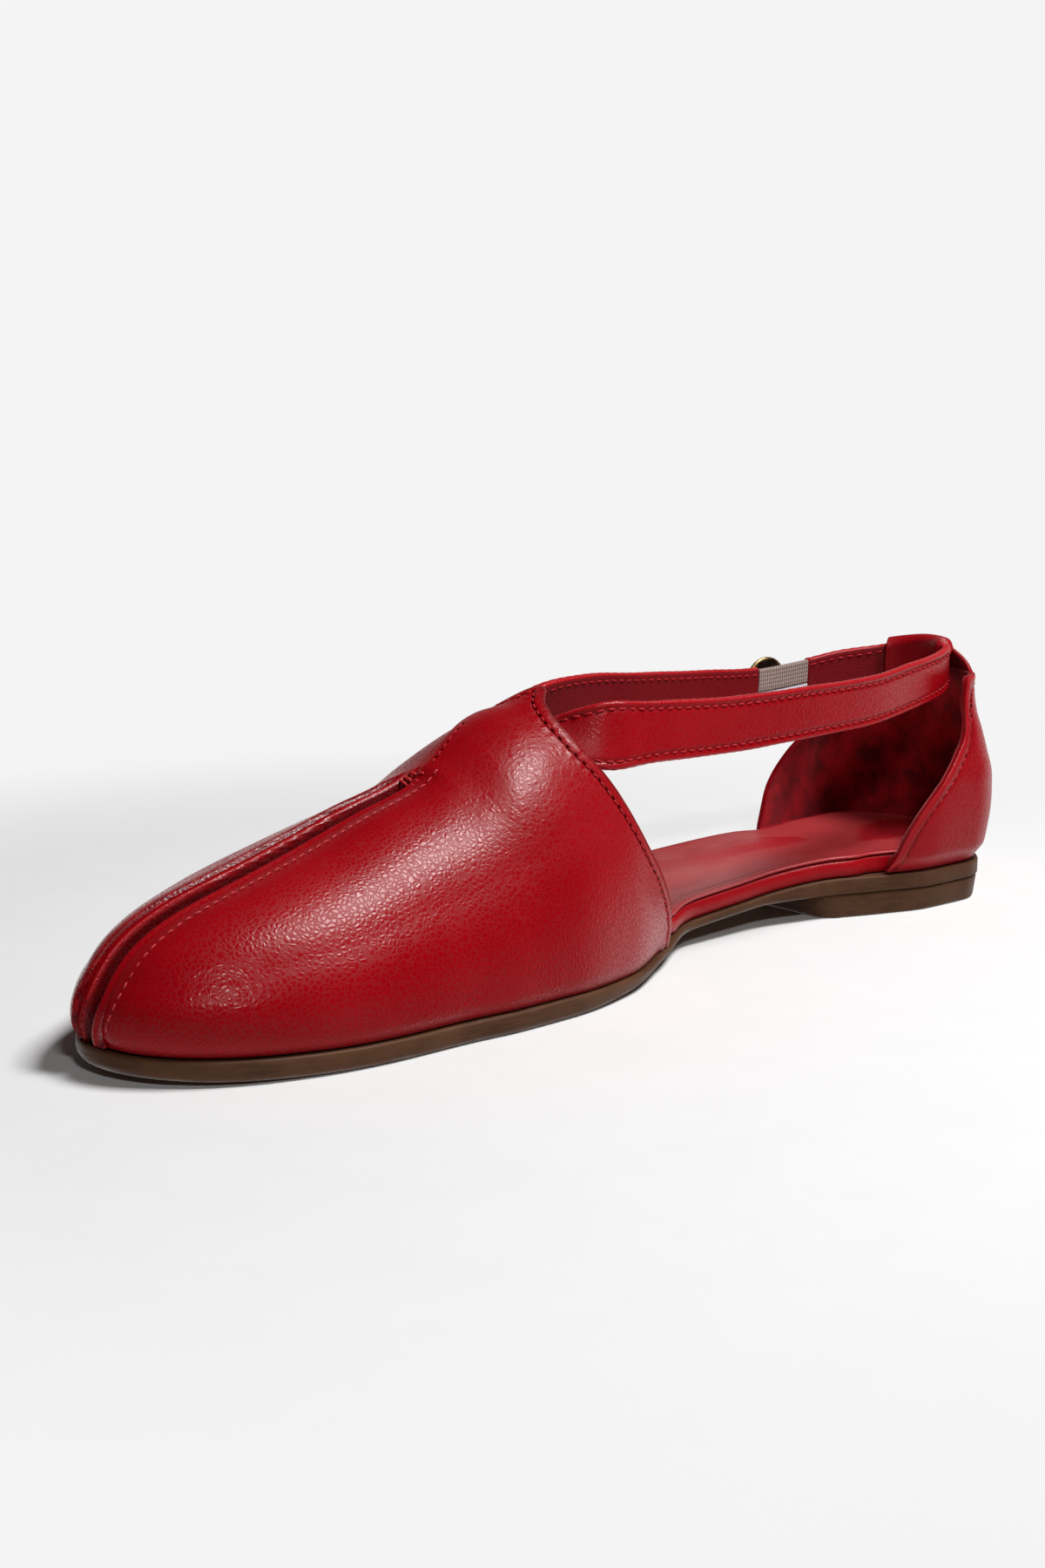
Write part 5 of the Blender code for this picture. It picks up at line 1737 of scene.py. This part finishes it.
# The studio: the camera's turn, rise and roll in degrees, then metres and millimetres of lens

CAMERA_ANGLES = (43.6, 10.9, 0.8)
CAMERA_AWAY = 0.499
CAMERA_TARGET = (0.1456, 0.0, 0.0415)
CAMERA_LENS = 53.8

# Softboxes: place to the right, toward the camera and up, then width, height and power
SOFTBOXES = (
    ("key_softbox", (0.44, 0.05, 0.88), 0.29, 0.29, 10.3),
    ("front_softbox", (0.20, 0.80, 0.62), 0.15, 0.055, 1.9),
)

# Brightness of the paper as seen, and how far out the lit floor fades into it
PAPER = 0.905
LIT_FLOOR = (0.14, 0.28)

# Brightness of the room by direction: the wall, the table, straight below and everywhere
ROOM_WALL = 0.42
ROOM_TABLE = 1.25
ROOM_BELOW = 0.45
ROOM_BASE = 0.012


def build_camera():
    theta, phi, roll = (math.radians(angle) for angle in CAMERA_ANGLES)
    target = np.array(CAMERA_TARGET) + SHIFT
    back = np.array((math.sin(theta) * math.cos(phi), math.cos(theta) * math.cos(phi), math.sin(phi)))
    right = np.cross(-back, (0.0, 0.0, 1.0))
    right /= np.linalg.norm(right)
    up = np.cross(right, -back)
    turned_right = right * math.cos(roll) + up * math.sin(roll)
    turned_up = -right * math.sin(roll) + up * math.cos(roll)
    place = target + back * CAMERA_AWAY
    data = bpy.data.cameras.new("studio_camera")
    data.lens = CAMERA_LENS
    data.sensor_width = 36.0
    data.sensor_fit = "AUTO"
    data.clip_start = 0.01
    data.clip_end = 50.0
    camera = bpy.data.objects.new("studio_camera", data)
    bpy.context.scene.collection.objects.link(camera)
    camera.matrix_world = Matrix((
        (turned_right[0], turned_up[0], back[0], place[0]),
        (turned_right[1], turned_up[1], back[1], place[1]),
        (turned_right[2], turned_up[2], back[2], place[2]),
        (0.0, 0.0, 0.0, 1.0),
    ))
    bpy.context.scene.camera = camera
    return back, right


def area_light(name, place, aim, wide, tall, power):
    data = bpy.data.lights.new(name, "AREA")
    data.shape = "RECTANGLE"
    data.size = wide
    data.size_y = tall
    data.energy = power
    light = bpy.data.objects.new(name, data)
    bpy.context.scene.collection.objects.link(light)
    direction = np.array(aim, float) - np.array(place, float)
    z = -direction / np.linalg.norm(direction)
    x = np.cross((0.0, 0.0, 1.0), z)
    if np.linalg.norm(x) < 1e-6:
        x = np.array((1.0, 0.0, 0.0))
    x /= np.linalg.norm(x)
    y = np.cross(z, x)
    light.matrix_world = Matrix((
        (x[0], y[0], z[0], place[0]), (x[1], y[1], z[1], place[1]),
        (x[2], y[2], z[2], place[2]), (0.0, 0.0, 0.0, 1.0),
    ))
    light.visible_camera = False


def build_floor():
    mesh = bpy.data.meshes.new("studio_floor")
    size = 12.0
    corners = [(-size, -size, 0.0), (size, -size, 0.0), (size, size, 0.0), (-size, size, 0.0)]
    mesh.from_pydata(corners, [], [(0, 1, 2, 3)])
    floor = bpy.data.objects.new("studio_floor", mesh)
    bpy.context.scene.collection.objects.link(floor)
    material = bpy.data.materials.new("pale_paper")
    material.use_nodes = True
    tree = material.node_tree
    w = Wires(tree)
    tree.nodes.clear()
    place = w.node("ShaderNodeTexCoord")
    length = w.node("ShaderNodeVectorMath", operation="LENGTH")
    w.join(place.outputs["Object"], length.inputs[0])
    far = w.ramp(length.outputs["Value"], *LIT_FLOOR)
    paper = w.node("ShaderNodeBsdfDiffuse")
    tint = w.noise(place.outputs["Object"], 60.0, 4.0, 0.6)
    tone = w.mix(w.ramp(tint, 0.3, 0.7), (0.86, 0.86, 0.86), (0.875, 0.875, 0.875))
    w.join(tone, paper.inputs["Color"])
    glow = w.node("ShaderNodeEmission")
    glow.inputs["Color"].default_value = (PAPER, PAPER, PAPER, 1.0)
    blend = w.node("ShaderNodeMixShader")
    w.join(far, blend.inputs[0])
    w.join(paper.outputs[0], blend.inputs[1])
    w.join(glow.outputs[0], blend.inputs[2])
    clear = w.node("ShaderNodeBsdfTransparent")
    path = w.node("ShaderNodeLightPath")
    mirrored = w.node("ShaderNodeMixShader")
    w.join(path.outputs["Is Glossy Ray"], mirrored.inputs[0])
    w.join(blend.outputs[0], mirrored.inputs[1])
    w.join(clear.outputs[0], mirrored.inputs[2])
    out = w.node("ShaderNodeOutputMaterial")
    w.join(mirrored.outputs[0], out.inputs["Surface"])
    material.cycles.emission_sampling = "NONE"
    mesh.materials.append(material)
    floor.visible_glossy = False


def build_world(back):
    """Pale wall behind the shoe, darker room on the camera's side of it."""
    world = bpy.data.worlds.new("studio_room")
    bpy.context.scene.world = world
    world.use_nodes = True
    tree = world.node_tree
    tree.nodes.clear()
    w = Wires(tree)
    place = w.node("ShaderNodeTexCoord")
    dot = w.node("ShaderNodeVectorMath", operation="DOT_PRODUCT")
    w.join(place.outputs["Generated"], dot.inputs[0])
    dot.inputs[1].default_value = (-float(back[0]), -float(back[1]), 0.0)
    parts = w.node("ShaderNodeSeparateXYZ")
    w.join(place.outputs["Generated"], parts.inputs[0])
    high = parts.outputs["Z"]
    away = dot.outputs["Value"]
    wall = w.math("MULTIPLY", w.ramp(away, 0.2, 0.75), w.ramp(high, 0.25, 0.55, 1.0, 0.0))
    wall = w.math("MULTIPLY", wall, w.ramp(high, -0.1, 0.0))
    table = w.math("MULTIPLY", w.ramp(away, 0.02, 0.45), w.ramp(high, -0.05, 0.0, 1.0, 0.0))
    under = w.ramp(high, -0.75, -0.45, 1.0, 0.0)
    level = w.math("ADD", w.math("MULTIPLY", wall, ROOM_WALL), w.math("MULTIPLY", table, ROOM_TABLE))
    level = w.math("ADD", level, w.math("MULTIPLY", under, ROOM_BELOW))
    level = w.math("ADD", level, ROOM_BASE)
    room = w.node("ShaderNodeBackground")
    room.inputs["Color"].default_value = (1.0, 1.0, 1.0, 1.0)
    w.join(level, room.inputs["Strength"])
    seen = w.node("ShaderNodeBackground")
    seen.inputs["Color"].default_value = (PAPER, PAPER, PAPER, 1.0)
    seen.inputs["Strength"].default_value = 1.0
    path = w.node("ShaderNodeLightPath")
    blend = w.node("ShaderNodeMixShader")
    w.join(path.outputs["Is Camera Ray"], blend.inputs[0])
    w.join(room.outputs[0], blend.inputs[1])
    w.join(seen.outputs[0], blend.inputs[2])
    out = w.node("ShaderNodeOutputWorld")
    w.join(blend.outputs[0], out.inputs["Surface"])


def build_lights(back, right):
    middle = np.array((0.0, 0.0, 0.03))
    up = np.array((0.0, 0.0, 1.0))
    level = np.array((back[0], back[1], 0.0))
    level = level / np.linalg.norm(level)
    for name, (aside, ahead, high), wide, tall, power in SOFTBOXES:
        place = middle + right * aside + level * ahead + up * high
        area_light(name, place, middle, wide, tall, power)


def main():
    bpy.context.scene.view_settings.view_transform = "Standard"
    back, right = build_camera()
    build_world(back)
    build_floor()
    build_lights(back, right)
    build_outsole()
    build_heel()
    build_footbed()
    points, normals, top_gap = build_vamp()
    vamp_stitching(points, normals, top_gap)
    path = build_straps()
    build_elastic(path)
    build_button(path)
    dress_counter(path)


main()
